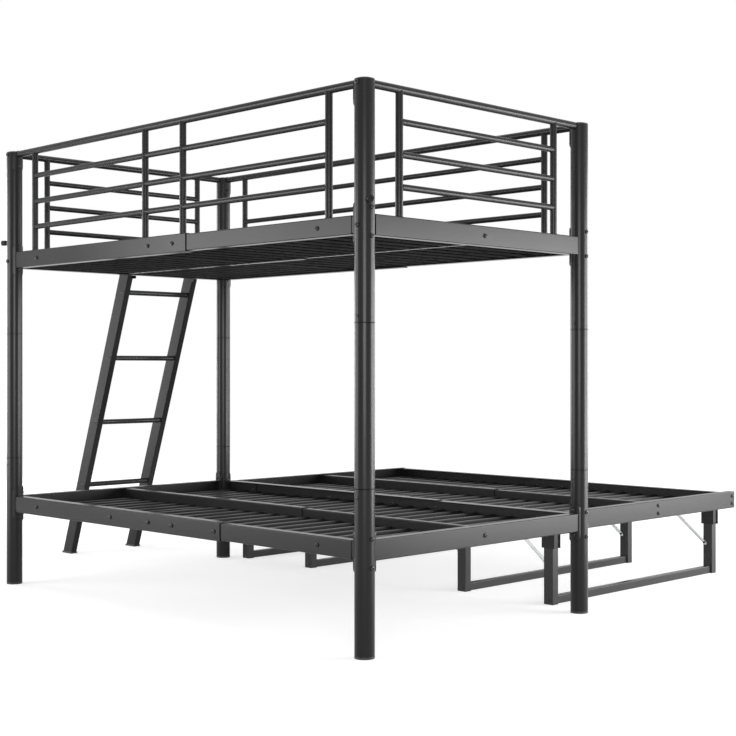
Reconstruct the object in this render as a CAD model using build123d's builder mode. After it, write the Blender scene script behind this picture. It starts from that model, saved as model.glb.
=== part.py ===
from build123d import *
import os
from math import cos, radians, sin, sqrt, tan

# A steel bunk bed with two sleeping decks, a guard round the upper one, a leaning ladder at one
# end and a trundle bed that stands pulled out on four folding leg frames. Millimetres, +Z up.
# +X runs along the bed from the foot end to the ladder end, -Y points to the side the trundle
# comes out of. The origin is the middle of the whole assembly's footprint, on the floor.

# Bunk frame
post_spacing_x = 1930.0      # between post axes, along the bed
post_spacing_y = 1038.0      # between post axes, across the bed
bunk_height = 1680.0         # floor to the top of the post caps

# Posts
post_diameter = 60.0
post_wall = 1.2
lower_joint_z = 490.0
upper_joint_z = 970.0
joint_line = 1.0             # open line between two post sections
sleeve_clearance = 0.25
sleeve_wall = 1.5
sleeve_length = 120.0
glide_height = 7.0
glide_plug_length = 22.0
cap_rim_height = 3.5
cap_dome_height = 5.0
cap_plug_length = 3.5
plug_clearance = 0.2
rim_round = 1.4
peg_diameter = 20.0
peg_neck_diameter = 12.0
peg_neck_length = 9.0
peg_head_length = 16.0
peg_z = 1324.0
peg_recess_diameter = 7.0
peg_recess_depth = 4.0
peg_angle = 64.0             # degrees from square across the bed towards the bed's end
joint_screw_drop = 27.0      # lower joint line down to the screw that holds its sleeve
joint_screw_rise = 19.0      # upper joint line up to the screw that holds its sleeve
joint_screw_diameter = 5.0
joint_screw_head_diameter = 9.0
joint_screw_head_height = 2.0

# Rails of both bunk decks
lower_rail_z = 310.5         # mid-height of the lower deck's rails
upper_rail_z = 1255.0        # mid-height of the upper deck's rails
rail_height = 62.0
rail_depth = 34.0
rail_wall = 1.2
bend_inner_radius = 1.8      # inside every pressed bend and tube corner
nest_gap = 2.0               # between a rail half and the half that slides inside it
rail_end_gap = 42.0          # post axis to the rail's end
upper_overlap = 140.0        # half of the stretch where the two upper halves overlap
lower_overlap = 320.0        # the same on the lower deck
upper_splice_bolts = (68.0,)
lower_splice_bolts = (66.0, 292.0)
tongue_bolt_offset = 187.0   # post axis to the bolt through rail and bracket tongue

# Brackets between the rails and the posts
saddle_width = 42.0
saddle_length = 135.0
saddle_thickness = 3.5
saddle_gap = 0.3
saddle_bolt_spacing = 83.0
upper_saddle_bolt_rise = 6.0   # rails' mid-height up to the middle of the saddle bolts
lower_saddle_bolt_drop = 6.5   # the same, downwards, on the lower deck
tongue_length = 182.0
tongue_height = 46.0
tongue_thickness = 3.0
tongue_gap = 0.5
weld_overlap = 1.0           # how far one welded member runs into the next

# Guard of the upper deck
guard_tube_diameter = 25.0
guard_upright_diameter = 23.0
guard_bar_diameter = 20.0
guard_wall = 1.0
guard_top_z = 1665.0
guard_bar_heights = (1376.0, 1472.0, 1570.0)
guard_post_offset_x = 150.0  # post axis to the outer upright of a long side
guard_middle_offset = 106.0  # middle of a long side to its inner uprights
guard_post_offset_y = 145.0  # post axis to the upright of an end frame
guard_plate_length = 82.0
guard_plate_bolt_drop = 47.0
guard_plate_rise = 1.0       # how far the plate stands above the top tube
frame_bolt_drop = 2.0        # top tube axis to the bolt that holds an end frame to a post
frame_rail_bolt_drop = 4.0   # rail's mid-height to the other bolt of the end frame

# Centre beams and slats
beam_overlap = 140.0
beam_depth = 30.0
beam_end_gap = 0.3
beam_end_plate = 3.0
slat_count = 23
slat_pitch = 82.0
slat_width = 36.0
slat_height = 24.0
slat_wall = 0.6
slat_rest_gap = 0.3
slat_end_gap = 0.3

# Bolts
bolt_diameter = 8.0
bolt_hole_clearance = 0.2
bolt_head_diameter = 14.0
bolt_head_height = 5.0
bolt_tip = 0.5               # how far a splice bolt reaches past the inner web

# Ladder
ladder_lean = 19.7           # degrees from upright, top towards the bed
ladder_foot_x = 602.5        # ladder posts' axis to the middle of the stiles at the floor
stile_depth = 64.0
stile_width = 28.0
stile_wall = 1.2
stile_top_z = 1318.0
stile_inner_width = 316.0    # clear width between the stiles
ladder_mid_y = 807.0         # back posts' axis to the middle of the ladder
rung_diameter = 22.0
rung_wall = 1.0
rung_heights = (316.0, 598.0, 880.0, 1162.0)
rung_set_forward = 16.0      # rungs stand this far from the stile's middle, towards the bed
ladder_pad_height = 8.0
ladder_pad_wall = 2.0
hook_thickness = 4.0
hook_width = 26.0
hook_lip = 26.0
hook_plate_height = 70.0

# Trundle
trundle_length = 1864.0
trundle_width = 1108.0
trundle_shift_x = 68.0       # foot posts' axis to the trundle's foot end
trundle_gap_y = 8.0          # between the front posts and the trundle
trundle_rail_z = 304.0       # mid-height of the trundle's rails
trundle_overlap = 142.0
trundle_splice_bolts = (70.0,)
trundle_slat_pitch = 79.0
trundle_bolt_spacing = 30.0
flange_gap = 1.0
end_flange = 30.0            # reach of the end rails' flanges over and under the side rails

# Folding leg frames of the trundle
leg_depth = 40.0             # along the bed
leg_width = 30.0             # across the bed
leg_wall = 1.2
leg_end_offset = 100.0       # trundle end to the outer leg frames
leg_inner_offset = 507.0     # trundle end to the inner leg frames
leg_inset = 9.0              # side rail's outer face to the leg's outer face
leg_pivot_z = 240.0
leg_bar_height = 30.0
leg_bar_depth = 25.0
hinge_bracket_bottom = 200.0
hinge_bracket_margin = 8.0   # how far the bracket reaches past the leg along the bed
hinge_cheek = 3.0
hinge_side_gap = 0.3
hinge_pin_diameter = 8.0
running_clearance = 0.05
pin_head_diameter = 12.0
pin_head_height = 2.5

# Stays that brace the legs
stay_width = 10.0
stay_thickness = 3.0
stay_reach = 228.0           # between its two pivots
stay_angle = 39.6            # degrees above level when the leg stands
stay_pivot_z = 124.0
stay_pivot_offset = 14.0     # leg's middle to the stay's pivot
stay_side_gap = 0.5
stay_pin_diameter = 5.0
stay_tab_width = 30.0
stay_tab_drop = 12.0

# Values worked out from the driving dimensions
post_radius = post_diameter / 2
bolt_hole_radius = bolt_diameter / 2 + bolt_hole_clearance
bolt_reach = post_radius + bolt_head_height
lean_tan = tan(radians(ladder_lean))
stile_foot_half = stile_depth / 2 / cos(radians(ladder_lean))
ladder_reach = ladder_foot_x + stile_foot_half + ladder_pad_wall
trundle_reach = post_radius + trundle_gap_y + trundle_width

peg_turn = radians(peg_angle)
peg_reach = post_radius + peg_neck_length + peg_head_length
foot_reach = max(bolt_reach, peg_reach * sin(peg_turn) + peg_diameter / 2 * cos(peg_turn))
back_reach = max(bolt_reach, peg_reach * cos(peg_turn) + peg_diameter / 2 * sin(peg_turn))
total_x = foot_reach + post_spacing_x + ladder_reach
total_y = back_reach + post_spacing_y + trundle_reach + bolt_head_height
x_foot = -total_x / 2 + foot_reach
x_ladder = x_foot + post_spacing_x
x_mid = (x_foot + x_ladder) / 2
y_back = total_y / 2 - back_reach
y_front = y_back - post_spacing_y
y_mid = (y_back + y_front) / 2

foot_end = {"name": "foot", "x": x_foot, "inward": 1}
ladder_end = {"name": "ladder", "x": x_ladder, "inward": -1}
ends = (foot_end, ladder_end)
back_side = {"name": "back", "y": y_back, "outward": 1}
front_side = {"name": "front", "y": y_front, "outward": -1}
sides = (back_side, front_side)

bend_outer_radius = bend_inner_radius + rail_wall
nested_step = rail_wall + nest_gap
nested_height = rail_height - 2 * nested_step
beam_height = nested_height
splice_grip = 2 * rail_wall + nest_gap + bolt_tip
tongue_grip = rail_wall + tongue_gap + tongue_thickness
deck_levels = {"upper": upper_rail_z, "lower": lower_rail_z}
deck_overlaps = {"upper": upper_overlap, "lower": lower_overlap}
deck_splices = {"upper": upper_splice_bolts, "lower": lower_splice_bolts}
rail_top_upper = upper_rail_z + rail_height / 2

os.makedirs("parts", exist_ok=True)


def save(piece, name):
    """Label a finished piece and write it under its node's name."""
    piece.part.label = name
    export_step(piece.part, f"parts/{name}.step")


def channel_profile(depth, height, opening):
    """Draw a C section with rounded bends, its web away from the opening (+1 or -1 in local x)."""
    spare = 2 * bend_outer_radius
    with Locations((opening * spare / 2, 0)):
        RectangleRounded(depth + spare, height, bend_outer_radius)
    with Locations((opening * (rail_wall + spare) / 2, 0)):
        RectangleRounded(depth + spare - rail_wall, height - 2 * rail_wall, bend_inner_radius, mode=Mode.SUBTRACT)
    with Locations((opening * (depth + spare) / 2, 0)):
        Rectangle(spare, 2 * height, mode=Mode.SUBTRACT)


def ring_profile(diameter, wall):
    """Draw the section of a round tube."""
    Circle(diameter / 2)
    Circle(diameter / 2 - wall, mode=Mode.SUBTRACT)


def box_profile(width, height, wall):
    """Draw the section of a rectangular tube with rounded corners."""
    RectangleRounded(width, height, bend_inner_radius + wall)
    RectangleRounded(width - 2 * wall, height - 2 * wall, bend_inner_radius, mode=Mode.SUBTRACT)


def bolt(plane, grip):
    """Add a bolt: head on the plane's positive side, shank running the grip length behind it."""
    with BuildSketch(plane) as profile:
        Circle(bolt_head_diameter / 2)
    extrude(profile.sketch, amount=bolt_head_height)
    with BuildSketch(plane) as profile:
        Circle(bolt_diameter / 2)
    extrude(profile.sketch, amount=-grip)


def splice_places(level):
    """Give the x places of the bolts that join the two halves of a long rail."""
    return [x_mid + way * offset for offset in deck_splices[level] for way in (-1, 1)]


# Posts, three sections each
post_section_ends = {
    "lower": (glide_height, lower_joint_z - joint_line / 2),
    "middle": (lower_joint_z + joint_line / 2, upper_joint_z - joint_line / 2),
    "upper": (upper_joint_z + joint_line / 2, bunk_height - cap_rim_height - cap_dome_height),
}
saddle_bolt_mids = {
    "upper": upper_rail_z + upper_saddle_bolt_rise,
    "lower": lower_rail_z - lower_saddle_bolt_drop,
}
saddle_bolt_heights = {
    level: (mid_z - saddle_bolt_spacing / 2, mid_z + saddle_bolt_spacing / 2)
    for level, mid_z in saddle_bolt_mids.items()
}
saddle_bolt_steps = {
    level: [height - deck_levels[level] for height in heights]
    for level, heights in saddle_bolt_heights.items()
}
end_saddle_bolt_steps = (-saddle_bolt_spacing / 2, saddle_bolt_spacing / 2)
end_frame_bolt_heights = (upper_rail_z - frame_rail_bolt_drop, guard_top_z - frame_bolt_drop)
guard_bolt_z = guard_top_z - guard_plate_bolt_drop

joint_screw_heights = {"lower": lower_joint_z - joint_screw_drop, "upper": upper_joint_z + joint_screw_rise}
joint_screw_radius = joint_screw_diameter / 2 + bolt_hole_clearance


def post_hole(start, way, z, radius, through):
    """Cut a round hole through one wall, or both, of the post section or sleeve being built."""
    plane = Plane(origin=(start[0], start[1], z), z_dir=way)
    with BuildSketch(plane) as profile:
        Circle(radius)
    extrude(profile.sketch, amount=post_radius, mode=Mode.SUBTRACT)
    if through:
        with BuildSketch(plane) as profile:
            Circle(radius)
        extrude(profile.sketch, amount=-post_radius, mode=Mode.SUBTRACT)


for side in sides:
    for end in ends:
        axis_point = (end["x"], side["y"])
        inward_x = (end["inward"], 0, 0)
        inward_y = (0, -side["outward"], 0)
        for section, (z_low, z_high) in post_section_ends.items():
            with BuildPart() as post:
                with BuildSketch(Plane.XY.offset(z_low)):
                    with Locations(axis_point):
                        ring_profile(post_diameter, post_wall)
                extrude(amount=z_high - z_low)
                if section in saddle_bolt_heights:
                    for height in saddle_bolt_heights[section]:
                        post_hole(axis_point, inward_x, height, bolt_hole_radius, True)
                if section == "lower":
                    for step in end_saddle_bolt_steps:
                        post_hole(axis_point, inward_y, lower_rail_z + step, bolt_hole_radius, False)
                if section == "upper":
                    for height in end_frame_bolt_heights:
                        post_hole(axis_point, inward_y, height, bolt_hole_radius, True)
                    post_hole(axis_point, inward_x, guard_bolt_z, bolt_hole_radius, False)
                if section in joint_screw_heights:
                    post_hole(axis_point, (0, 1, 0), joint_screw_heights[section], joint_screw_radius, False)
            save(post, f"post_{side['name']}_{end['name']}_{section}")

post_points = [(end["x"], side["y"]) for side in sides for end in ends]
plug_radius = post_radius - post_wall - plug_clearance
cap_base_z = bunk_height - cap_rim_height - cap_dome_height
dome_half = post_radius - rim_round
dome_radius = (dome_half ** 2 + cap_dome_height ** 2) / (2 * cap_dome_height)
cap_top = cap_rim_height + cap_dome_height

with BuildPart() as post_caps:
    with BuildSketch(Plane.XZ) as cap_half:
        with BuildLine():
            Polyline((0, -cap_plug_length), (plug_radius, -cap_plug_length), (plug_radius, 0),
                     (post_radius, 0), (post_radius, cap_rim_height - rim_round))
            RadiusArc((post_radius, cap_rim_height - rim_round), (dome_half, cap_rim_height), -rim_round)
            RadiusArc((dome_half, cap_rim_height), (0, cap_top), -dome_radius)
            Line((0, cap_top), (0, -cap_plug_length))
        make_face()
    cap = revolve(axis=Axis.Z, mode=Mode.PRIVATE)
    with Locations(*[(x, y, cap_base_z) for x, y in post_points]):
        add(cap)
save(post_caps, "post_caps")

with BuildPart() as post_foot_glides:
    with BuildSketch():
        with Locations(*post_points):
            Circle(post_radius)
    extrude(amount=glide_height)
    with BuildSketch(Plane.XY.offset(glide_height)):
        with Locations(*post_points):
            Circle(plug_radius)
    extrude(amount=glide_plug_length)
save(post_foot_glides, "post_foot_glides")

sleeve_diameter = post_diameter - 2 * (post_wall + sleeve_clearance)
with BuildPart() as post_joint_sleeves:
    for joint_z in (lower_joint_z, upper_joint_z):
        with BuildSketch(Plane.XY.offset(joint_z - sleeve_length / 2)):
            with Locations(*post_points):
                ring_profile(sleeve_diameter, sleeve_wall)
        extrude(amount=sleeve_length)
    for point in post_points:
        for height in joint_screw_heights.values():
            post_hole(point, (0, 1, 0), height, joint_screw_radius, False)
save(post_joint_sleeves, "post_joint_sleeves")

# Short pegs on the back posts, each pointing outwards past the bed's end
with BuildPart() as post_pegs:
    for end in ends:
        heading = (-end["inward"] * sin(peg_turn), cos(peg_turn), 0)
        root = (end["x"] + heading[0] * post_radius, y_back + heading[1] * post_radius, peg_z)
        tip = (root[0] + heading[0] * peg_neck_length, root[1] + heading[1] * peg_neck_length, peg_z)
        with BuildSketch(Plane(origin=root, z_dir=heading)):
            Circle(peg_neck_diameter / 2)
        extrude(amount=peg_neck_length)
        with BuildSketch(Plane(origin=tip, z_dir=heading)):
            Circle(peg_diameter / 2)
            Circle(peg_recess_diameter / 2, mode=Mode.SUBTRACT)
        extrude(amount=peg_head_length)
        with BuildSketch(Plane(origin=tip, z_dir=heading)):
            Circle(peg_recess_diameter / 2)
        extrude(amount=peg_head_length - peg_recess_depth)
save(post_pegs, "post_pegs")


# Long rails of both bunk decks, each in two halves that nest over the middle
def long_rail_half(side, end, axis_y, mid_z, x_from, x_to, bolt_places):
    """Build one half; the foot half is the smaller channel that slides inside the ladder half."""
    nested = end is foot_end
    height = nested_height if nested else rail_height
    depth = rail_depth - nested_step if nested else rail_depth
    shift = -side["outward"] * nested_step / 2 if nested else 0
    with BuildPart() as half:
        with BuildSketch(Plane.YZ.offset(min(x_from, x_to))) as profile:
            with Locations((axis_y + shift, mid_z)):
                channel_profile(depth, height, -side["outward"])
        extrude(profile.sketch, amount=abs(x_to - x_from))
        with BuildSketch(Plane.XZ.offset(-axis_y)) as profile:
            with Locations(*[(x, mid_z) for x in bolt_places]):
                Circle(bolt_hole_radius)
        extrude(profile.sketch, amount=-side["outward"] * rail_depth, mode=Mode.SUBTRACT)
    return half


for level, mid_z in deck_levels.items():
    for side in sides:
        for end in ends:
            rail_start = end["x"] + end["inward"] * rail_end_gap
            rail_stop = x_mid + end["inward"] * deck_overlaps[level]
            tongue_bolt = end["x"] + end["inward"] * tongue_bolt_offset
            places = splice_places(level) + [tongue_bolt]
            rail = long_rail_half(side, end, side["y"], mid_z, rail_start, rail_stop, places)
            save(rail, f"{level}_rail_{side['name']}_{end['name']}_half")

# Saddle plates that hug the posts, each with a tongue that reaches into a rail
saddle_inner_radius = post_radius + saddle_gap
saddle_outer_radius = saddle_inner_radius + saddle_thickness
saddle_mid_radius = saddle_inner_radius + saddle_thickness / 2


def saddle_plate(center, heading, mid_z, length, bolt_steps):
    """Add a curved plate with rounded ends on the post's face that looks along the heading."""
    outer = Plane(origin=(center[0], center[1], mid_z), z_dir=heading, x_dir=(-heading[1], heading[0], 0))
    with BuildSketch(Plane(origin=(center[0], center[1], mid_z - length / 2), x_dir=(*heading, 0))) as profile:
        Circle(saddle_outer_radius)
        Circle(saddle_inner_radius, mode=Mode.SUBTRACT)
    ring = extrude(profile.sketch, amount=length, mode=Mode.PRIVATE)
    with BuildSketch(outer) as profile:
        SlotOverall(length, saddle_width, rotation=90)
        with Locations(*[(0, step) for step in bolt_steps]):
            Circle(bolt_hole_radius, mode=Mode.SUBTRACT)
    blank = extrude(profile.sketch, amount=saddle_outer_radius, mode=Mode.PRIVATE)
    add(ring.intersect(blank))


with BuildPart() as rail_end_brackets:
    for level, mid_z in deck_levels.items():
        for side in sides:
            for end in ends:
                heading = (end["inward"], 0)
                saddle_plate((end["x"], side["y"]), heading, mid_z, saddle_length, saddle_bolt_steps[level])
                web_step = rail_wall + (nested_step if end is foot_end else 0) + tongue_gap
                tongue_step = rail_depth / 2 - web_step
                tongue_y = side["y"] + side["outward"] * (tongue_step - tongue_thickness / 2)
                tongue_start = end["x"] + end["inward"] * sqrt(saddle_mid_radius ** 2 - tongue_step ** 2)
                with BuildSketch(Plane(origin=(tongue_start, tongue_y, mid_z), z_dir=(end["inward"], 0, 0))):
                    Rectangle(tongue_height, tongue_thickness)
                extrude(amount=tongue_length)
                tongue_bolt = end["x"] + end["inward"] * tongue_bolt_offset
                with BuildSketch(Plane(origin=(tongue_bolt, side["y"], mid_z), z_dir=(0, side["outward"], 0))):
                    Circle(bolt_hole_radius)
                extrude(amount=rail_depth, mode=Mode.SUBTRACT)
save(rail_end_brackets, "rail_end_brackets")

def cope_ends(points, mid_z, height):
    """Cut round seats for the saddle plates into a member that runs from post axis to post axis."""
    with BuildSketch(Plane.XY.offset(mid_z - height)) as profile:
        with Locations(*points):
            Circle(saddle_mid_radius)
    extrude(profile.sketch, amount=2 * height, mode=Mode.SUBTRACT)


# Lower end rails, welded to a saddle plate at each post
for end in ends:
    with BuildPart() as end_rail:
        with BuildSketch(Plane.XZ.offset(-y_back)):
            with Locations((end["x"], lower_rail_z)):
                channel_profile(rail_depth, rail_height, end["inward"])
        extrude(amount=post_spacing_y)
        cope_ends([(end["x"], y_back), (end["x"], y_front)], lower_rail_z, rail_height)
        for side in sides:
            heading = (0, -side["outward"])
            saddle_plate((end["x"], side["y"]), heading, lower_rail_z, saddle_length, end_saddle_bolt_steps)
        with BuildSketch(Plane(origin=(end["x"], y_mid, lower_rail_z), z_dir=(-end["inward"], 0, 0))):
            Circle(bolt_hole_radius)
        extrude(amount=rail_depth, mode=Mode.SUBTRACT)
    save(end_rail, f"lower_end_rail_{end['name']}")


# Guard of the upper deck
def tube_between(start, stop, diameter):
    """Add the outside of a straight round tube from one point to another."""
    run = Vector(*stop) - Vector(*start)
    with BuildSketch(Plane(origin=start, z_dir=run.normalized())) as profile:
        Circle(diameter / 2)
    extrude(profile.sketch, amount=run.length)


def hollow_out(start, stop, diameter):
    """Cut the bore of a straight round tube."""
    run = Vector(*stop) - Vector(*start)
    with BuildSketch(Plane(origin=start, z_dir=run.normalized())) as profile:
        Circle(diameter / 2 - guard_wall)
    extrude(profile.sketch, amount=run.length, mode=Mode.SUBTRACT)


def welded_tubes(tubes):
    """Join round tubes into one frame and clear all their bores."""
    for start, stop, diameter in tubes:
        tube_between(start, stop, diameter)
    for start, stop, diameter in tubes:
        hollow_out(start, stop, diameter)


guard_uprights_x = [
    x_foot + guard_post_offset_x,
    x_mid - guard_middle_offset,
    x_mid + guard_middle_offset,
    x_ladder - guard_post_offset_x,
]
guard_plate_mid = guard_top_z + guard_tube_diameter / 2 + guard_plate_rise - guard_plate_length / 2
for side in sides:
    y = side["y"]
    guard_tubes = [((x_foot, y, guard_top_z), (x_ladder, y, guard_top_z), guard_tube_diameter)]
    for x in guard_uprights_x:
        stands_on = rail_top_upper - (nested_step if x < x_mid - upper_overlap else 0)
        guard_tubes.append(((x, y, stands_on), (x, y, guard_top_z), guard_upright_diameter))
    for z in guard_bar_heights:
        guard_tubes.append(((guard_uprights_x[0], y, z), (guard_uprights_x[-1], y, z), guard_bar_diameter))
    with BuildPart() as guard:
        welded_tubes(guard_tubes)
        cope_ends([(x_foot, y), (x_ladder, y)], guard_top_z, guard_tube_diameter)
        for end in ends:
            bolt_step = guard_bolt_z - guard_plate_mid
            saddle_plate((end["x"], y), (end["inward"], 0), guard_plate_mid, guard_plate_length, (bolt_step,))
    save(guard, f"guard_{side['name']}")

# Upper end frames: a rail, two uprights and the guard bars, welded into one frame
frame_half_y = post_spacing_y / 2 - post_radius - saddle_gap
for end in ends:
    x = end["x"]
    upright_y = (y_back - guard_post_offset_y, y_front + guard_post_offset_y)
    frame_tubes = [((x, y_mid - frame_half_y, guard_top_z), (x, y_mid + frame_half_y, guard_top_z),
                    guard_tube_diameter)]
    for y in upright_y:
        frame_tubes.append(((x, y, rail_top_upper - weld_overlap), (x, y, guard_top_z), guard_upright_diameter))
    for z in guard_bar_heights:
        frame_tubes.append(((x, upright_y[0], z), (x, upright_y[1], z), guard_bar_diameter))
    with BuildPart() as end_frame:
        welded_tubes(frame_tubes)
        with BuildSketch(Plane.XZ.offset(-(y_mid + frame_half_y))):
            with Locations((x, upper_rail_z)):
                channel_profile(rail_depth, rail_height, end["inward"])
        extrude(amount=2 * frame_half_y)
        for side in sides:
            with BuildSketch(Plane.XZ.offset(-(y_mid + side["outward"] * frame_half_y))):
                with Locations((x, upper_rail_z)):
                    RectangleRounded(rail_depth, rail_height, bend_outer_radius)
                with Locations((x, upper_rail_z - frame_rail_bolt_drop)):
                    Circle(bolt_hole_radius, mode=Mode.SUBTRACT)
            extrude(amount=side["outward"] * rail_wall)
        with BuildSketch(Plane(origin=(x, y_mid, upper_rail_z), z_dir=(-end["inward"], 0, 0))):
            Circle(bolt_hole_radius)
        extrude(amount=rail_depth, mode=Mode.SUBTRACT)
    save(end_frame, f"upper_end_frame_{end['name']}")


# Centre beams, in two nested halves, and the two rows of slats on each deck
def beam_half(nested, axis_y, mid_z, x_from, x_to, bolt_steps):
    """Build one half of a centre beam, a box tube with a bolting plate in its outer end."""
    step = nested_step if nested else 0
    way = 1 if x_to > x_from else -1
    with BuildPart() as half:
        with BuildSketch(Plane(origin=(x_from, axis_y, mid_z), x_dir=(0, 1, 0), z_dir=(way, 0, 0))) as profile:
            box_profile(beam_depth - 2 * step, beam_height - 2 * step, rail_wall)
        extrude(profile.sketch, amount=abs(x_to - x_from))
        with BuildSketch(Plane(origin=(x_from, axis_y, mid_z), x_dir=(0, 1, 0), z_dir=(way, 0, 0))) as plate:
            RectangleRounded(beam_depth - 2 * step, beam_height - 2 * step, bend_outer_radius)
            with Locations(*[(0, bolt_step) for bolt_step in bolt_steps]):
                Circle(bolt_hole_radius, mode=Mode.SUBTRACT)
        extrude(plate.sketch, amount=beam_end_plate)
    return half


def slat_rows(xs, y_rail_backs, y_beam, bottom_z, nested_stop):
    """Lay two rows of slats from the long rails to the centre beam, lower where one rail half lies alone."""
    for row_y in y_rail_backs:
        way = 1 if row_y > y_beam else -1
        y_from = y_beam + way * (beam_depth / 2 + slat_end_gap)
        y_to = row_y - way * slat_end_gap
        with BuildSketch(Plane.XZ) as profile:
            Rectangle(slat_width, slat_height)
            with Locations((0, -slat_wall)):
                Rectangle(slat_width - 2 * slat_wall, slat_height, mode=Mode.SUBTRACT)
        slat = extrude(profile.sketch, amount=y_from - y_to, mode=Mode.PRIVATE)
        drops = [nested_step if x > nested_stop else 0 for x in xs]
        with Locations(*[(x, y_from, bottom_z + slat_height / 2 - drop) for x, drop in zip(xs, drops)]):
            add(slat)


beam_start_gap = rail_wall + beam_end_gap - rail_depth / 2
deck_slat_xs = [x_mid + (n - (slat_count - 1) / 2) * slat_pitch for n in range(slat_count)]
slat_end_y = rail_depth / 2 - rail_wall - nested_step - tongue_gap - tongue_thickness
for level, mid_z in deck_levels.items():
    for end in ends:
        start = end["x"] + end["inward"] * beam_start_gap
        beam = beam_half(end is foot_end, y_mid, mid_z, start, x_mid + end["inward"] * beam_overlap, (0,))
        save(beam, f"{level}_centre_beam_{end['name']}_half")
    flange_top = mid_z - rail_height / 2 + rail_wall + nested_step
    with BuildPart() as slats:
        slat_rows(deck_slat_xs, (y_back + slat_end_y, y_front - slat_end_y), y_mid,
                  flange_top + slat_rest_gap, x_mid + deck_overlaps[level] + slat_width / 2)
    save(slats, f"{level}_slats")

# Bolts of the bunk frame
beam_bolt_grip = rail_wall + beam_end_gap + beam_end_plate
with BuildPart() as bunk_bolts:
    for side in sides:
        for end in ends:
            outward_x = (-end["inward"], 0, 0)
            inward_x = (end["inward"], 0, 0)
            outward_y = (0, side["outward"], 0)
            inward_y = (0, -side["outward"], 0)
            for heights in saddle_bolt_heights.values():
                for height in heights:
                    face_x = end["x"] - end["inward"] * post_radius
                    bolt(Plane(origin=(face_x, side["y"], height), z_dir=outward_x),
                         post_radius + saddle_outer_radius + bolt_diameter / 2)
            for step in end_saddle_bolt_steps:
                face_y = side["y"] - side["outward"] * saddle_outer_radius
                bolt(Plane(origin=(end["x"], face_y, lower_rail_z + step), z_dir=inward_y),
                     saddle_thickness + bolt_diameter)
            for height in end_frame_bolt_heights:
                face_y = side["y"] + side["outward"] * post_radius
                bolt(Plane(origin=(end["x"], face_y, height), z_dir=outward_y), 2 * post_radius + bolt_diameter)
            face_x = end["x"] + end["inward"] * saddle_outer_radius
            bolt(Plane(origin=(face_x, side["y"], guard_bolt_z), z_dir=inward_x),
                 saddle_thickness + bolt_diameter)
        for level, mid_z in deck_levels.items():
            tongue_bolts = [end["x"] + end["inward"] * tongue_bolt_offset for end in ends]
            for x in splice_places(level):
                face_y = side["y"] + side["outward"] * rail_depth / 2
                bolt(Plane(origin=(x, face_y, mid_z), z_dir=(0, side["outward"], 0)), splice_grip)
            for end, x in zip(ends, tongue_bolts):
                inset = nested_step if end is foot_end else 0
                face_y = side["y"] + side["outward"] * (rail_depth / 2 - inset)
                bolt(Plane(origin=(x, face_y, mid_z), z_dir=(0, side["outward"], 0)), tongue_grip)
    for x, y in post_points:
        for height in joint_screw_heights.values():
            with BuildSketch(Plane(origin=(x, y + post_radius, height), z_dir=(0, 1, 0))):
                Circle(joint_screw_head_diameter / 2)
            extrude(amount=joint_screw_head_height)
            with BuildSketch(Plane(origin=(x, y + post_radius, height), z_dir=(0, -1, 0))):
                Circle(joint_screw_diameter / 2)
            extrude(amount=post_wall + sleeve_clearance + 2 * sleeve_wall)
    for end in ends:
        for mid_z in deck_levels.values():
            face_x = end["x"] - end["inward"] * rail_depth / 2
            bolt(Plane(origin=(face_x, y_mid, mid_z), z_dir=(-end["inward"], 0, 0)), beam_bolt_grip)
save(bunk_bolts, "bunk_bolts")

# Ladder
ladder_y = y_back - ladder_mid_y
stile_ys = [ladder_y + way * (stile_inner_width + stile_width) / 2 for way in (1, -1)]


def stile_x(z):
    """Give the x of the stiles' middle at a height."""
    return x_ladder + ladder_foot_x - z * lean_tan


def stile_outline(z_low, z_high, half_depth):
    """Give the corners of a stile's side view between two level cuts."""
    return [
        (stile_x(z_low) - half_depth, z_low), (stile_x(z_low) + half_depth, z_low),
        (stile_x(z_high) + half_depth, z_high), (stile_x(z_high) - half_depth, z_high),
    ]


def leaning_bar(y, depth, width, radius, z_high):
    """Make a bar with rounded edges that leans with the ladder and is cut level at foot and top."""
    lean = radians(ladder_lean)
    axis = Plane(origin=(stile_x(0), y, 0), x_dir=(cos(lean), 0, sin(lean)), z_dir=(-sin(lean), 0, cos(lean)))
    with BuildSketch(axis.offset(-depth)) as profile:
        RectangleRounded(depth, width, radius)
    bar = extrude(profile.sketch, amount=z_high / cos(lean) + 2 * depth, mode=Mode.PRIVATE)
    with BuildSketch(Plane.XY.offset(ladder_pad_wall)) as profile:
        with Locations((stile_x(z_high / 2), y)):
            Rectangle(z_high, 2 * width)
    level_block = extrude(profile.sketch, amount=z_high - ladder_pad_wall, mode=Mode.PRIVATE)
    return bar.intersect(level_block)


stile_corner = bend_inner_radius + stile_wall
rung_points = [(stile_x(z) - rung_set_forward, z) for z in rung_heights]
with BuildPart() as ladder_stiles:
    for y in stile_ys:
        add(leaning_bar(y, stile_depth, stile_width, stile_corner, stile_top_z))
        add(leaning_bar(y, stile_depth - 2 * stile_wall, stile_width - 2 * stile_wall, bend_inner_radius,
                        stile_top_z - stile_wall), mode=Mode.SUBTRACT)
save(ladder_stiles, "ladder_stiles")

with BuildPart() as ladder_rungs:
    with BuildSketch(Plane.XZ.offset(-(ladder_y + stile_inner_width / 2))):
        with Locations(*rung_points):
            ring_profile(rung_diameter, rung_wall)
    extrude(amount=stile_inner_width)
save(ladder_rungs, "ladder_rungs")

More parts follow.
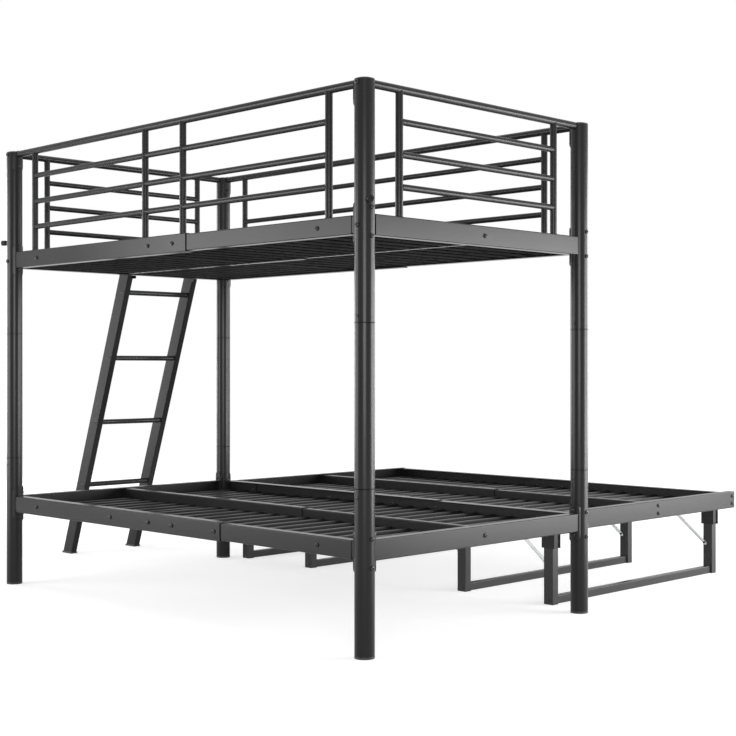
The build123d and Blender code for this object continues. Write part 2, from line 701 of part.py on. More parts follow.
pad_half = stile_foot_half + ladder_pad_wall
with BuildPart() as ladder_feet:
    for y in stile_ys:
        with BuildSketch(Plane.XZ.offset(-(y + stile_width / 2 + ladder_pad_wall))):
            with BuildLine():
                Polyline(*stile_outline(0, ladder_pad_height, pad_half), close=True)
            make_face()
        extrude(amount=stile_width + 2 * ladder_pad_wall)
        with BuildSketch(Plane.XZ.offset(-(y + stile_width / 2))):
            with BuildLine():
                Polyline(*stile_outline(ladder_pad_wall, ladder_pad_height, stile_foot_half), close=True)
            make_face()
        extrude(amount=stile_width, mode=Mode.SUBTRACT)
save(ladder_feet, "ladder_feet")

# Hooks that lie over the upper end rail and are bolted to the inner faces of the stiles
hook_lip_x = x_ladder - rail_depth / 2 - saddle_gap - hook_thickness
hook_under_z = rail_top_upper + saddle_gap
hook_plate_x = stile_x(hook_under_z)
with BuildPart() as ladder_hooks:
    for y, way in zip(stile_ys, (-1, 1)):
        inner_face = y + way * stile_width / 2
        low_y = min(inner_face, inner_face + way * hook_width)
        with BuildSketch(Plane.XZ.offset(-(low_y + hook_width))):
            with BuildLine():
                Polyline(
                    (hook_lip_x, hook_under_z - hook_lip),
                    (hook_lip_x + hook_thickness, hook_under_z - hook_lip),
                    (hook_lip_x + hook_thickness, hook_under_z),
                    (hook_plate_x, hook_under_z),
                    (hook_plate_x, hook_under_z + hook_thickness),
                    (hook_lip_x, hook_under_z + hook_thickness),
                    close=True)
            make_face()
        extrude(amount=hook_width)
        with BuildSketch(Plane.XZ.offset(-(max(inner_face, inner_face + way * hook_thickness)))):
            with Locations((hook_plate_x, hook_under_z + hook_thickness - hook_plate_height / 2)):
                Rectangle(stile_depth - 2 * hook_thickness, hook_plate_height)
        extrude(amount=hook_thickness)
save(ladder_hooks, "ladder_hooks")

# Trundle
tx_foot = x_foot + trundle_shift_x
tx_ladder = tx_foot + trundle_length
tx_mid = (tx_foot + tx_ladder) / 2
ty_back_face = y_front - post_radius - trundle_gap_y
ty_front_face = ty_back_face - trundle_width
ty_back = ty_back_face - rail_depth / 2
ty_front = ty_front_face + rail_depth / 2
ty_mid = (ty_back + ty_front) / 2
trundle_bottom = trundle_rail_z - rail_height / 2
trundle_ends = (
    {"name": "foot", "x": tx_foot, "inward": 1},
    {"name": "ladder", "x": tx_ladder, "inward": -1},
)
trundle_sides = (
    {"name": "back", "y": ty_back, "outward": 1},
    {"name": "front", "y": ty_front, "outward": -1},
)
leg_offsets = {"outer": leg_end_offset, "inner": leg_inner_offset}
trundle_splices = [tx_mid + way * offset for offset in trundle_splice_bolts for way in (-1, 1)]
cheek_step = leg_width / 2 + hinge_side_gap + hinge_cheek / 2
trundle_bolt_steps = (-trundle_bolt_spacing / 2, trundle_bolt_spacing / 2)


def leg_y(side):
    """Give the y of the middle of the legs under one side rail."""
    return side["y"] + side["outward"] * (rail_depth / 2 - leg_inset - leg_width / 2)


def hinge_bracket(side, end, x, rail_bottom):
    """Add a leg's hinge bracket: two cheeks and the web that the standing leg rests against."""
    drop = rail_bottom - hinge_bracket_bottom
    half = leg_depth / 2 + hinge_bracket_margin
    mid_y = leg_y(side)
    for way in (-1, 1):
        cheek_y = mid_y + way * cheek_step
        with BuildSketch(Plane.XZ.offset(-(cheek_y + hinge_cheek / 2))) as profile:
            with Locations((x, hinge_bracket_bottom + drop / 2)):
                Rectangle(2 * half, drop)
            with Locations((x, leg_pivot_z)):
                Circle(hinge_pin_diameter / 2, mode=Mode.SUBTRACT)
        extrude(profile.sketch, amount=hinge_cheek)
    web_x = x - end["inward"] * (leg_depth / 2 + hinge_side_gap + hinge_cheek / 2)
    with BuildSketch(Plane.XY.offset(hinge_bracket_bottom)) as profile:
        with Locations((web_x, mid_y)):
            Rectangle(hinge_cheek, leg_width + 2 * hinge_side_gap)
    extrude(profile.sketch, amount=drop)
    with BuildSketch(Plane.XY.offset(rail_bottom)) as profile:
        with Locations((x, mid_y)):
            Rectangle(2 * half, 2 * cheek_step + hinge_cheek)
    extrude(profile.sketch, amount=-hinge_cheek)


def stay_tab(side, end, x, rail_bottom):
    """Add the tab that the stay's upper end bears on when the leg stands."""
    tab_x = x + end["inward"] * (stay_pivot_offset + stay_reach * cos(radians(stay_angle)))
    inner_y = side["y"] - side["outward"] * rail_depth / 2
    with BuildSketch(Plane.XZ.offset(-(inner_y + (hinge_cheek if side["outward"] > 0 else 0)))) as profile:
        with Locations((tab_x, rail_bottom + (weld_overlap - stay_tab_drop) / 2)):
            Rectangle(stay_tab_width, stay_tab_drop + weld_overlap)
    extrude(profile.sketch, amount=hinge_cheek)


for side in trundle_sides:
    for end in trundle_ends:
        start = end["x"] + end["inward"] * (rail_wall + beam_end_gap)
        stop = tx_mid + end["inward"] * trundle_overlap
        nested = foot_end if end["name"] == "foot" else ladder_end
        rail_bottom = trundle_rail_z - (nested_height if end["name"] == "foot" else rail_height) / 2
        rail = long_rail_half(side, nested, side["y"], trundle_rail_z, start, stop, trundle_splices)
        with rail:
            inset = nested_step if nested is foot_end else 0
            with BuildSketch(Plane(origin=(start, side["y"] - side["outward"] * inset / 2, trundle_rail_z),
                                   x_dir=(0, 1, 0), z_dir=(end["inward"], 0, 0))) as plate:
                RectangleRounded(rail_depth - inset, rail_height - 2 * inset, bend_outer_radius)
                with Locations(*[(side["outward"] * inset / 2, step) for step in trundle_bolt_steps]):
                    Circle(bolt_hole_radius, mode=Mode.SUBTRACT)
            extrude(plate.sketch, amount=beam_end_plate)
            for offset in leg_offsets.values():
                x = end["x"] + end["inward"] * offset
                hinge_bracket(side, end, x, rail_bottom)
                stay_tab(side, end, x, rail_bottom)
        save(rail, f"trundle_rail_{side['name']}_{end['name']}_half")

for end in trundle_ends:
    start = end["x"] + end["inward"] * (rail_wall + beam_end_gap)
    stop = tx_mid + end["inward"] * trundle_overlap
    beam = beam_half(end["name"] == "foot", ty_mid, trundle_rail_z, start, stop, trundle_bolt_steps)
    save(beam, f"trundle_centre_beam_{end['name']}_half")

# End rails of the trundle, which close the ends of the side rails and the centre beam
trundle_bolt_ys = (ty_back, ty_mid, ty_front)
end_rail_height = rail_height + 2 * (flange_gap + rail_wall)
for end in trundle_ends:
    with BuildPart() as trundle_end:
        with BuildSketch(Plane.XZ.offset(-ty_back_face)):
            with Locations((end["x"] + end["inward"] * end_flange / 2, trundle_rail_z)):
                channel_profile(end_flange, end_rail_height, end["inward"])
        extrude(amount=trundle_width)
        with BuildSketch(Plane(origin=(end["x"], ty_mid, trundle_rail_z), x_dir=(0, 1, 0),
                               z_dir=(end["inward"], 0, 0))):
            with Locations(*[(y - ty_mid, step) for y in trundle_bolt_ys for step in trundle_bolt_steps]):
                Circle(bolt_hole_radius)
        extrude(amount=rail_wall, mode=Mode.SUBTRACT)
    save(trundle_end, f"trundle_end_rail_{end['name']}")

trundle_slat_xs = [tx_mid + (n - (slat_count - 1) / 2) * trundle_slat_pitch for n in range(slat_count)]
trundle_flange_top = trundle_bottom + rail_wall + nested_step
with BuildPart() as trundle_slats:
    slat_rows(trundle_slat_xs, (ty_back + slat_end_y, ty_front - slat_end_y), ty_mid,
              trundle_flange_top + slat_rest_gap, tx_mid + trundle_overlap + slat_width / 2)
save(trundle_slats, "trundle_slats")

with BuildPart() as trundle_bolts_and_pins:
    for side in trundle_sides:
        for x in trundle_splices:
            face_y = side["y"] + side["outward"] * rail_depth / 2
            bolt(Plane(origin=(x, face_y, trundle_rail_z), z_dir=(0, side["outward"], 0)), splice_grip)
        for end in trundle_ends:
            for offset in leg_offsets.values():
                x = end["x"] + end["inward"] * offset
                pin_half = cheek_step + hinge_cheek / 2
                outer = leg_y(side) + side["outward"] * pin_half
                with BuildSketch(Plane(origin=(x, outer, leg_pivot_z), z_dir=(0, side["outward"], 0))):
                    Circle(pin_head_diameter / 2)
                extrude(amount=pin_head_height)
                with BuildSketch(Plane(origin=(x, outer, leg_pivot_z), z_dir=(0, -side["outward"], 0))):
                    Circle(hinge_pin_diameter / 2)
                extrude(amount=2 * pin_half)
    for end in trundle_ends:
        for y in trundle_bolt_ys:
            for step in trundle_bolt_steps:
                bolt(Plane(origin=(end["x"], y, trundle_rail_z + step), z_dir=(-end["inward"], 0, 0)), beam_bolt_grip)
save(trundle_bolts_and_pins, "trundle_bolts_and_pins")

# Folding leg frames, each with two legs and a bar along the floor, and the stays that brace them
leg_top_z = leg_pivot_z + leg_depth / 2
leg_inner_step = leg_width / 2
stay_mid_step = leg_width / 2 + stay_side_gap + stay_thickness / 2
for end in trundle_ends:
    for place, offset in leg_offsets.items():
        x = end["x"] + end["inward"] * offset
        stay_x = x + end["inward"] * stay_pivot_offset
        bar_from = leg_y(trundle_sides[0]) - leg_inner_step
        bar_to = leg_y(trundle_sides[1]) + leg_inner_step
        with BuildPart() as leg_frame:
            for side in trundle_sides:
                mid_y = leg_y(side)
                with BuildSketch(Plane.XZ.offset(-(mid_y + leg_width / 2))):
                    with Locations((x, leg_pivot_z / 2)):
                        Rectangle(leg_depth, leg_pivot_z)
                    with Locations((x, leg_pivot_z)):
                        Circle(leg_depth / 2)
                extrude(amount=leg_width)
                with BuildSketch(Plane.XZ.offset(-(mid_y + leg_width / 2 - leg_wall))):
                    with Locations((x, leg_pivot_z / 2)):
                        Rectangle(leg_depth - 2 * leg_wall, leg_pivot_z)
                    with Locations((x, leg_pivot_z)):
                        Circle(leg_depth / 2 - leg_wall)
                extrude(amount=leg_width - 2 * leg_wall, mode=Mode.SUBTRACT)
                with BuildSketch(Plane.XZ.offset(-(mid_y + leg_width / 2))):
                    with Locations((x, leg_pivot_z)):
                        Circle(hinge_pin_diameter / 2 + running_clearance)
                extrude(amount=leg_width, mode=Mode.SUBTRACT)
                rivet_face = mid_y - side["outward"] * (leg_width / 2 - leg_wall)
                rivet_reach = leg_wall + 2 * stay_side_gap + stay_thickness
                with BuildSketch(Plane(origin=(stay_x, rivet_face, stay_pivot_z),
                                       z_dir=(0, -side["outward"], 0))):
                    Circle(stay_pin_diameter / 2)
                extrude(amount=rivet_reach)
                head_face = rivet_face - side["outward"] * rivet_reach
                with BuildSketch(Plane(origin=(stay_x, head_face, stay_pivot_z),
                                       z_dir=(0, -side["outward"], 0))):
                    Circle(stay_pin_diameter)
                extrude(amount=pin_head_height)
            with BuildSketch(Plane.XZ.offset(-bar_from)):
                with Locations((x, leg_bar_height / 2)):
                    box_profile(leg_bar_depth, leg_bar_height, leg_wall)
            extrude(amount=bar_from - bar_to)
        save(leg_frame, f"leg_frame_{end['name']}_{place}")

        turn = radians(stay_angle)
        stay_run = (end["inward"] * cos(turn) * stay_reach, sin(turn) * stay_reach)
        with BuildPart() as stays:
            for side in trundle_sides:
                mid_y = leg_y(side) - side["outward"] * stay_mid_step
                with BuildSketch(Plane.XZ.offset(-(mid_y + stay_thickness / 2))):
                    with Locations((stay_x + stay_run[0] / 2, stay_pivot_z + stay_run[1] / 2)):
                        SlotCenterToCenter(stay_reach, stay_width, rotation=end["inward"] * stay_angle)
                    with Locations((stay_x, stay_pivot_z)):
                        Circle(stay_pin_diameter / 2 + running_clearance, mode=Mode.SUBTRACT)
                extrude(amount=stay_thickness)
        save(stays, f"stays_{end['name']}_{place}")
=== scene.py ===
from math import radians
from typing import NamedTuple

import bpy
import numpy as np
from bpy.props import FloatProperty, FloatVectorProperty, IntProperty, PointerProperty
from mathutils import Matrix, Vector


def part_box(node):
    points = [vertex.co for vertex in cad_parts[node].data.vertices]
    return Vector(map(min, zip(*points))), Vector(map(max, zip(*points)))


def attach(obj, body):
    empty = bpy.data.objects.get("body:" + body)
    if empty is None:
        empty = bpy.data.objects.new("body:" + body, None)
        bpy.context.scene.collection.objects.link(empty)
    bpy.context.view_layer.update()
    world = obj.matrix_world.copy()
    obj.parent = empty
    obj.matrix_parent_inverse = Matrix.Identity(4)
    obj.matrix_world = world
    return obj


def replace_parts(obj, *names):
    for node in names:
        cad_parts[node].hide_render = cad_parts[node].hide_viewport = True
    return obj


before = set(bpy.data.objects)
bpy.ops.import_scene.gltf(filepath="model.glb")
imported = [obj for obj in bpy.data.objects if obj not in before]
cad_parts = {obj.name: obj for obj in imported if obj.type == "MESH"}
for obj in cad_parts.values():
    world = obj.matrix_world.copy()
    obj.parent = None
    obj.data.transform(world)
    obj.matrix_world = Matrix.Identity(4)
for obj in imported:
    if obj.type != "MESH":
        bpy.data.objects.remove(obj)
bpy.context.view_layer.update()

MM = 0.001

bl_info = {
    "name": "Bunk bed with trundle",
    "version": (1, 0, 0),
    "blender": (4, 5, 0),
    "location": "3D View > Sidebar > Bunk bed",
    "description": "Dresses the packed bunk bed with coatings, fasteners and a studio",
    "category": "Object",
}

# Nodes by finish, and the bodies of the slats and fasteners. A leg frame or a stay is named as its body is.
PLASTIC_NODES = ("post_caps", "post_foot_glides", "ladder_feet")
ZINC_NODES = tuple(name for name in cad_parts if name.startswith("stays_"))
LEG_FRAMES = tuple(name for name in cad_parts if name.startswith("leg_frame_"))
SLAT_BODIES = {"upper_slats": "bunk", "lower_slats": "bunk", "trundle_slats": "trundle"}
FASTENER_BODIES = {"bunk_bolts": "bunk", "trundle_bolts_and_pins": "trundle"}


# Settings

class FinishSizes(bpy.types.PropertyGroup):
    """Colours and textures of the bed's finishes."""

    coat_colour: FloatVectorProperty(
        name="Coat", description="Charcoal powder coat on the steel", subtype="COLOR", size=3,
        default=(0.018, 0.018, 0.0184), min=0, max=1)
    coat_roughness: FloatProperty(
        name="Coat roughness", description="How matt the powder coat is", default=0.25,
        min=0, max=1, subtype="FACTOR")
    coat_gloss: FloatProperty(
        name="Coat gloss", description="Strength of the reflections in the powder coat", default=0.15,
        min=0, max=1, subtype="FACTOR")
    coat_grain: FloatProperty(
        name="Coat grain", description="Size of the powder coat's ripples", default=1.6 * MM, unit="LENGTH")
    coat_tone: FloatProperty(
        name="Coat tone", description="Share by which the powder coat's colour drifts", default=0.12,
        min=0, max=1, subtype="FACTOR")
    coat_relief: FloatProperty(
        name="Coat relief", description="Height of the powder coat's ripples", default=0.01 * MM,
        unit="LENGTH")
    # Painted light: a lighter copy of the coat's colour that brightens the trundle's leg frames
    leg_lit_colour: FloatVectorProperty(
        name="Leg coat", description="Slightly greyer coat of the trundle's leg frames", subtype="COLOR",
        size=3, default=(0.035, 0.035, 0.0355), min=0, max=1)
    leg_gloss: FloatProperty(
        name="Leg gloss", description="Strength of the reflections in the leg frames' coat", default=0.2,
        min=0, max=1, subtype="FACTOR")
    slat_roughness: FloatProperty(
        name="Slat roughness", description="How matt the upper side of the slats is", default=0.28,
        min=0, max=1, subtype="FACTOR")
    slat_gloss: FloatProperty(
        name="Slat gloss", description="Strength of the reflections in the upper side of the slats",
        default=0.12, min=0, max=1, subtype="FACTOR")
    # Painted shade: the slats' inner side gets this near-black colour in place of the shade that falls inside
    # their channels
    inside_shade_colour: FloatVectorProperty(
        name="Inside", description="Thinly coated inner side of the slats", subtype="COLOR", size=3,
        default=(0.006, 0.006, 0.006), min=0, max=1)
    inside_roughness: FloatProperty(
        name="Inside roughness", description="How matt the inner side of the slats is", default=0.85,
        min=0, max=1, subtype="FACTOR")
    plastic_colour: FloatVectorProperty(
        name="Plastic", description="Black plastic of caps, glides and pads", subtype="COLOR", size=3,
        default=(0.03, 0.03, 0.031), min=0, max=1)
    plastic_roughness: FloatProperty(
        name="Plastic roughness", description="How matt the plastic is", default=0.5,
        min=0, max=1, subtype="FACTOR")
    bolt_colour: FloatVectorProperty(
        name="Bolts", description="Blackened bolts and screws", subtype="COLOR", size=3,
        default=(0.02, 0.02, 0.0204), min=0, max=1)
    bolt_roughness: FloatProperty(
        name="Bolt roughness", description="How matt the bolts and screws are", default=0.32,
        min=0, max=1, subtype="FACTOR")
    zinc_colour: FloatVectorProperty(
        name="Zinc", description="Bright zinc of the stays", subtype="COLOR", size=3,
        default=(0.5, 0.51, 0.52), min=0, max=1)
    zinc_roughness: FloatProperty(
        name="Zinc roughness", description="How matt the zinc is", default=0.28,
        min=0, max=1, subtype="FACTOR")


class SlatSizes(bpy.types.PropertyGroup):
    """Section of the pressed steel slats."""

    wall: FloatProperty(
        name="Sheet", description="Thickness of the slats' sheet", default=0.6 * MM, unit="LENGTH")
    leg: FloatProperty(
        name="Leg", description="Height of the slats' upright edges", default=5.0 * MM, unit="LENGTH")
    fullness: FloatProperty(
        name="Fullness", description="2 is an oval crown, and more is squarer", default=2.3, min=1.5, max=8)


class StaySizes(bpy.types.PropertyGroup):
    """Section of the pressed zinc stays."""

    width: FloatProperty(name="Width", description="Width of a stay", default=14.0 * MM, unit="LENGTH")
    lower_end: FloatProperty(
        name="Lower end", description="Lower pivot to the end of a stay", default=12.0 * MM, unit="LENGTH")
    upper_end: FloatProperty(
        name="Upper end", description="Upper pivot to the end of a stay", default=5.0 * MM, unit="LENGTH")
    groove: FloatProperty(
        name="Groove", description="Width of the pressed groove", default=6.5 * MM, unit="LENGTH")
    depth: FloatProperty(
        name="Depth", description="Depth of the pressed groove", default=1.0 * MM, unit="LENGTH")


class FastenerSizes(bpy.types.PropertyGroup):
    """Heads of bolts, screws and pins."""

    segments: IntProperty(name="Segments", description="Flats round each head", default=18, min=12, max=48)
    socket: FloatProperty(
        name="Socket", description="Width of the six-sided recess, as a share of the head", default=0.42,
        min=0.1, max=0.7)
    socket_floor: FloatProperty(
        name="Socket floor", description="Height of the recess's floor, as a share of the head",
        default=0.4, min=0, max=0.9)
    rung_screw: FloatProperty(
        name="Rung screw", description="Head diameter of the screws that hold the rungs",
        default=7.0 * MM, unit="LENGTH")
    rung_step: FloatProperty(
        name="Rung step", description="Middle of a rung to either of its screws", default=7.0 * MM,
        unit="LENGTH")
    bar_screw: FloatProperty(
        name="Bar screw", description="Head diameter of the screws that hold the floor bars",
        default=10.0 * MM, unit="LENGTH")
    bar_rise: FloatProperty(
        name="Bar screw rise", description="Floor to the screws of the floor bars", default=15.0 * MM,
        unit="LENGTH")


class WeldSizes(bpy.types.PropertyGroup):
    """Beads round the welded joints of the guards and end frames, and where those joints are."""

    bead: FloatProperty(
        name="Bead", description="Radius of a weld bead", default=1.7 * MM, unit="LENGTH")
    ripple: FloatProperty(
        name="Ripple", description="Swell of the bead's ripples", default=0.14, min=0, max=0.5)
    bar_radius: FloatProperty(
        name="Bar", description="Radius of the guard's bars", default=10.0 * MM, unit="LENGTH")
    upright_radius: FloatProperty(
        name="Upright", description="Radius of the guard's uprights", default=11.5 * MM, unit="LENGTH")
    top_radius: FloatProperty(
        name="Top tube", description="Radius of the top tubes", default=12.5 * MM, unit="LENGTH")
    top_height: FloatProperty(
        name="Top height", description="Floor to the top tubes' axes", default=1.665, unit="LENGTH")
    bar_heights: FloatVectorProperty(
        name="Bar heights", description="Floor to the axes of the three bars", size=3,
        default=(1.376, 1.472, 1.570), unit="LENGTH")
    post_to_upright: FloatProperty(
        name="Post to upright", description="Post axis to the outer upright of a long side", default=0.150,
        unit="LENGTH")
    middle_to_upright: FloatProperty(
        name="Middle to upright", description="Middle of a long side to its inner uprights", default=0.106,
        unit="LENGTH")
    end_upright: FloatProperty(
        name="End upright", description="Post axis to the upright of an end frame", default=0.145,
        unit="LENGTH")


class SeamSizes(bpy.types.PropertyGroup):
    """Near-black rings of painted shade where the sections of a post meet."""

    height: FloatProperty(name="Height", description="Height of a seam", default=2.6 * MM, unit="LENGTH")
    proud: FloatProperty(
        name="Proud", description="How far a seam stands out", default=0.12 * MM, unit="LENGTH")
    depth: FloatProperty(
        name="Depth", description="How far a seam goes in", default=0.8 * MM, unit="LENGTH")


class StageSizes(bpy.types.PropertyGroup):
    """Camera, floor and light of the studio."""

    back_from_post: FloatProperty(
        name="Camera back", description="Camera to the near post, along the bed", default=2.804,
        unit="LENGTH")
    aside_from_post: FloatProperty(
        name="Camera aside", description="Camera to the near post, across the bed", default=2.790,
        unit="LENGTH")
    camera_height: FloatProperty(
        name="Camera height", description="Camera above the floor", default=0.843, unit="LENGTH")
    heading: FloatProperty(
        name="Heading", description="Turn of the level camera about the vertical, from looking along Y",
        default=radians(-135), subtype="ANGLE")
    sensor: FloatProperty(
        name="Sensor", description="Width of the camera's sensor, in millimetres", default=36.0,
        subtype="DISTANCE_CAMERA")
    lens: FloatProperty(
        name="Lens", description="Focal length, in millimetres", default=66.91, subtype="DISTANCE_CAMERA")
    rise: FloatProperty(
        name="Rise", description="Vertical shift of the picture, in widths", default=-0.002)
    floor_half: FloatProperty(
        name="Half floor", description="Half the side of the square floor", default=30.0, unit="LENGTH")
    floor_colour: FloatVectorProperty(
        name="Floor", description="Pale studio floor", subtype="COLOR", size=3, default=(0.6, 0.6, 0.6),
        min=0, max=1)
    bounce_colour: FloatVectorProperty(
        name="Bounce", description="Floor as its scattered light sees it", subtype="COLOR", size=3,
        default=(0.05, 0.05, 0.05), min=0, max=1)
    near_white: FloatProperty(
        name="Near white", description="White added to the floor round the bed, where its shadow falls",
        default=0.62, min=0, max=1, subtype="FACTOR")
    far_white: FloatProperty(
        name="Far white", description="White added to the far floor as the camera sees it", default=0.89,
        min=0, max=1, subtype="FACTOR")
    near_reach: FloatProperty(
        name="Near reach", description="Middle of the floor to where its white starts to rise",
        default=1.8, unit="LENGTH")
    far_reach: FloatProperty(
        name="Far reach", description="Middle of the floor to where it is all white", default=4.5,
        unit="LENGTH")
    sky: FloatProperty(
        name="Sky", description="Strength of the even light from all round", default=0.18, min=0)
    key: FloatProperty(
        name="Key lamp", description="Strength of the lamp off the foot end", default=190.0, unit="POWER")
    low: FloatProperty(
        name="Low lamp", description="Strength of the strip near the floor off the foot end", default=40.0,
        unit="POWER")
    fill: FloatProperty(
        name="Fill lamp", description="Strength of the lamp off the back", default=114.0, unit="POWER")
    front: FloatProperty(
        name="Front lamp", description="Strength of the lamp over the camera", default=162.0, unit="POWER")
    ladder: FloatProperty(
        name="Ladder lamp", description="Strength of the lamp off the ladder end", default=140.0,
        unit="POWER")
    trundle: FloatProperty(
        name="Trundle lamp", description="Strength of the lamp off the trundle's side", default=140.0,
        unit="POWER")
    top: FloatProperty(
        name="Top lamp", description="Strength of the lamp overhead", default=75.0, unit="POWER")


# Finishes

CLOUDS_PER_METRE = 5.0
CLOUD_DETAIL = 4.0
SPECKS_PER_METRE = 1400.0
SPECK_DETAIL = 1.0
RIPPLE_DETAIL = 2.0
NOISE_MIDDLE = 0.5
PATCH = 0.06            # span over which the roughness drifts from place to place
BUMP_STRENGTH = 0.5


class Skin(NamedTuple):
    """Texture of a finish: size of its grain, share by which its colour drifts, and height of its grain."""

    grain: float
    tone: float
    relief: float


PAINTED_SHADE_SKIN = Skin(grain=1.6 * MM, tone=0.2, relief=0.03 * MM)
PLASTIC_SKIN = Skin(grain=0.9 * MM, tone=0.1, relief=0.05 * MM)
BOLT_SKIN = Skin(grain=0.6 * MM, tone=0.15, relief=0.02 * MM)
ZINC_SKIN = Skin(grain=1.2 * MM, tone=0.14, relief=0.02 * MM)


def new_group(name, inputs, outputs):
    """Make an empty shader node group whose sockets are given by label and kind."""
    group = bpy.data.node_groups.new(name, "ShaderNodeTree")
    for label, kind in inputs.items():
        group.interface.new_socket(label, in_out="INPUT", socket_type=kind)
    for label, kind in outputs.items():
        group.interface.new_socket(label, in_out="OUTPUT", socket_type=kind)
    entry = group.nodes.new("NodeGroupInput")
    leave = group.nodes.new("NodeGroupOutput")
    return group, entry, leave


def feed(tree, socket, value):
    """Link a socket to another, or set its number."""
    if hasattr(value, "links"):
        tree.links.new(value, socket)
    else:
        socket.default_value = value


def math_node(tree, operation, first, second):
    """Add a maths node whose inputs are sockets or numbers."""
    node = tree.nodes.new("ShaderNodeMath")
    node.operation = operation
    feed(tree, node.inputs[0], first)
    feed(tree, node.inputs[1], second)
    return node.outputs[0]


def noise_node(tree, place, scale, detail):
    """Add a noise texture of so many waves to a metre, with finer layers on top."""
    node = tree.nodes.new("ShaderNodeTexNoise")
    tree.links.new(place, node.inputs["Vector"])
    feed(tree, node.inputs["Scale"], scale)
    node.inputs["Detail"].default_value = detail
    return node.outputs[0]


def build_coat_texture():
    """Ripples, cloudy tone and specks of a sprayed coat, all from object coordinates."""
    group, entry, leave = new_group(
        "coat_texture",
        {"Place": "NodeSocketVector", "Colour": "NodeSocketColor", "Grain": "NodeSocketFloat",
         "Roughness": "NodeSocketFloat", "Tone": "NodeSocketFloat", "Patch": "NodeSocketFloat"},
        {"Colour": "NodeSocketColor", "Roughness": "NodeSocketFloat", "Height": "NodeSocketFloat"})
    given = entry.outputs
    ripple = noise_node(group, given["Place"], math_node(group, "DIVIDE", 1.0, given["Grain"]), RIPPLE_DETAIL)
    cloud = noise_node(group, given["Place"], CLOUDS_PER_METRE, CLOUD_DETAIL)
    speck = noise_node(group, given["Place"], SPECKS_PER_METRE, SPECK_DETAIL)
    cloud_shift = math_node(group, "SUBTRACT", cloud, NOISE_MIDDLE)
    speck_shift = math_node(group, "SUBTRACT", speck, NOISE_MIDDLE)
    tone = math_node(group, "MULTIPLY", cloud_shift, given["Tone"])
    fleck = math_node(group, "MULTIPLY", speck_shift, given["Tone"])
    level = math_node(group, "ADD", math_node(group, "ADD", tone, fleck), 1.0)
    shade = group.nodes.new("ShaderNodeVectorMath")
    shade.operation = "SCALE"
    group.links.new(given["Colour"], shade.inputs[0])
    group.links.new(level, shade.inputs["Scale"])
    patch = math_node(group, "MULTIPLY", cloud_shift, given["Patch"])
    group.links.new(shade.outputs[0], leave.inputs["Colour"])
    group.links.new(math_node(group, "ADD", given["Roughness"], patch), leave.inputs["Roughness"])
    group.links.new(ripple, leave.inputs["Height"])
    return group


def coated(name, colour, roughness, texture, skin, metallic=0.0, gloss=0.3):
    """Make one finish: the coat texture feeding a Principled surface."""
    material = bpy.data.materials.new(name)
    material.use_nodes = True
    tree = material.node_tree
    surface = tree.nodes["Principled BSDF"]
    surface.inputs["Metallic"].default_value = metallic
    surface.inputs["Specular IOR Level"].default_value = gloss
    place = tree.nodes.new("ShaderNodeTexCoord")
    look = tree.nodes.new("ShaderNodeGroup")
    look.node_tree = texture
    look.inputs["Colour"].default_value = (*colour, 1)
    look.inputs["Grain"].default_value = skin.grain
    look.inputs["Roughness"].default_value = roughness
    look.inputs["Tone"].default_value = skin.tone
    look.inputs["Patch"].default_value = PATCH
    bump = tree.nodes.new("ShaderNodeBump")
    bump.inputs["Distance"].default_value = skin.relief
    bump.inputs["Strength"].default_value = BUMP_STRENGTH
    tree.links.new(place.outputs["Object"], look.inputs["Place"])
    tree.links.new(look.outputs["Colour"], surface.inputs["Base Color"])
    tree.links.new(look.outputs["Roughness"], surface.inputs["Roughness"])
    tree.links.new(look.outputs["Height"], bump.inputs["Height"])
    tree.links.new(bump.outputs[0], surface.inputs["Normal"])
    return material


def dress(obj, material):
    """Give an object one material in its own slot."""
    obj.data.materials.clear()
    obj.data.materials.append(material)


class BUNK_OT_finishes(bpy.types.Operator):
    """Coat the steel, the plastic, the bolts and the zinc stays"""

    bl_idname = "bunk_bed.finishes"
    bl_label = "Finishes"

    def execute(self, context):
        s = context.scene.bunk_finish
        texture = build_coat_texture()
        skin = Skin(s.coat_grain, s.coat_tone, s.coat_relief)
        coat = coated("powder_coat", s.coat_colour, s.coat_roughness, texture, skin, gloss=s.coat_gloss)
        # Painted light: the leg frames get a lighter copy of the coat
        legs = coated("leg_coat", s.leg_lit_colour, s.coat_roughness, texture, skin, gloss=s.leg_gloss)
        coated("slat_coat", s.coat_colour, s.slat_roughness, texture, skin, gloss=s.slat_gloss)
        # Painted shade: a near-black matt copy of the coat for the slats' inner side and the post seams
        coated("slat_inside", s.inside_shade_colour, s.inside_roughness, texture, PAINTED_SHADE_SKIN, gloss=0.0)
        plastic = coated("black_plastic", s.plastic_colour, s.plastic_roughness, texture, PLASTIC_SKIN)
        bolts = coated("blackened_steel", s.bolt_colour, s.bolt_roughness, texture, BOLT_SKIN)
        zinc = coated("bright_zinc", s.zinc_colour, s.zinc_roughness, texture, ZINC_SKIN, metallic=1.0)
        finish_of = {}
        for names, finish in ((PLASTIC_NODES, plastic), (FASTENER_BODIES, bolts), (ZINC_NODES, zinc),
                              (LEG_FRAMES, legs)):
            finish_of.update(dict.fromkeys(names, finish))
        for name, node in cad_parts.items():
            dress(node, finish_of.get(name, coat))
        return {"FINISHED"}


# Shapes

CORNER_DECIMALS = 6     # corners that agree to a micrometre are one


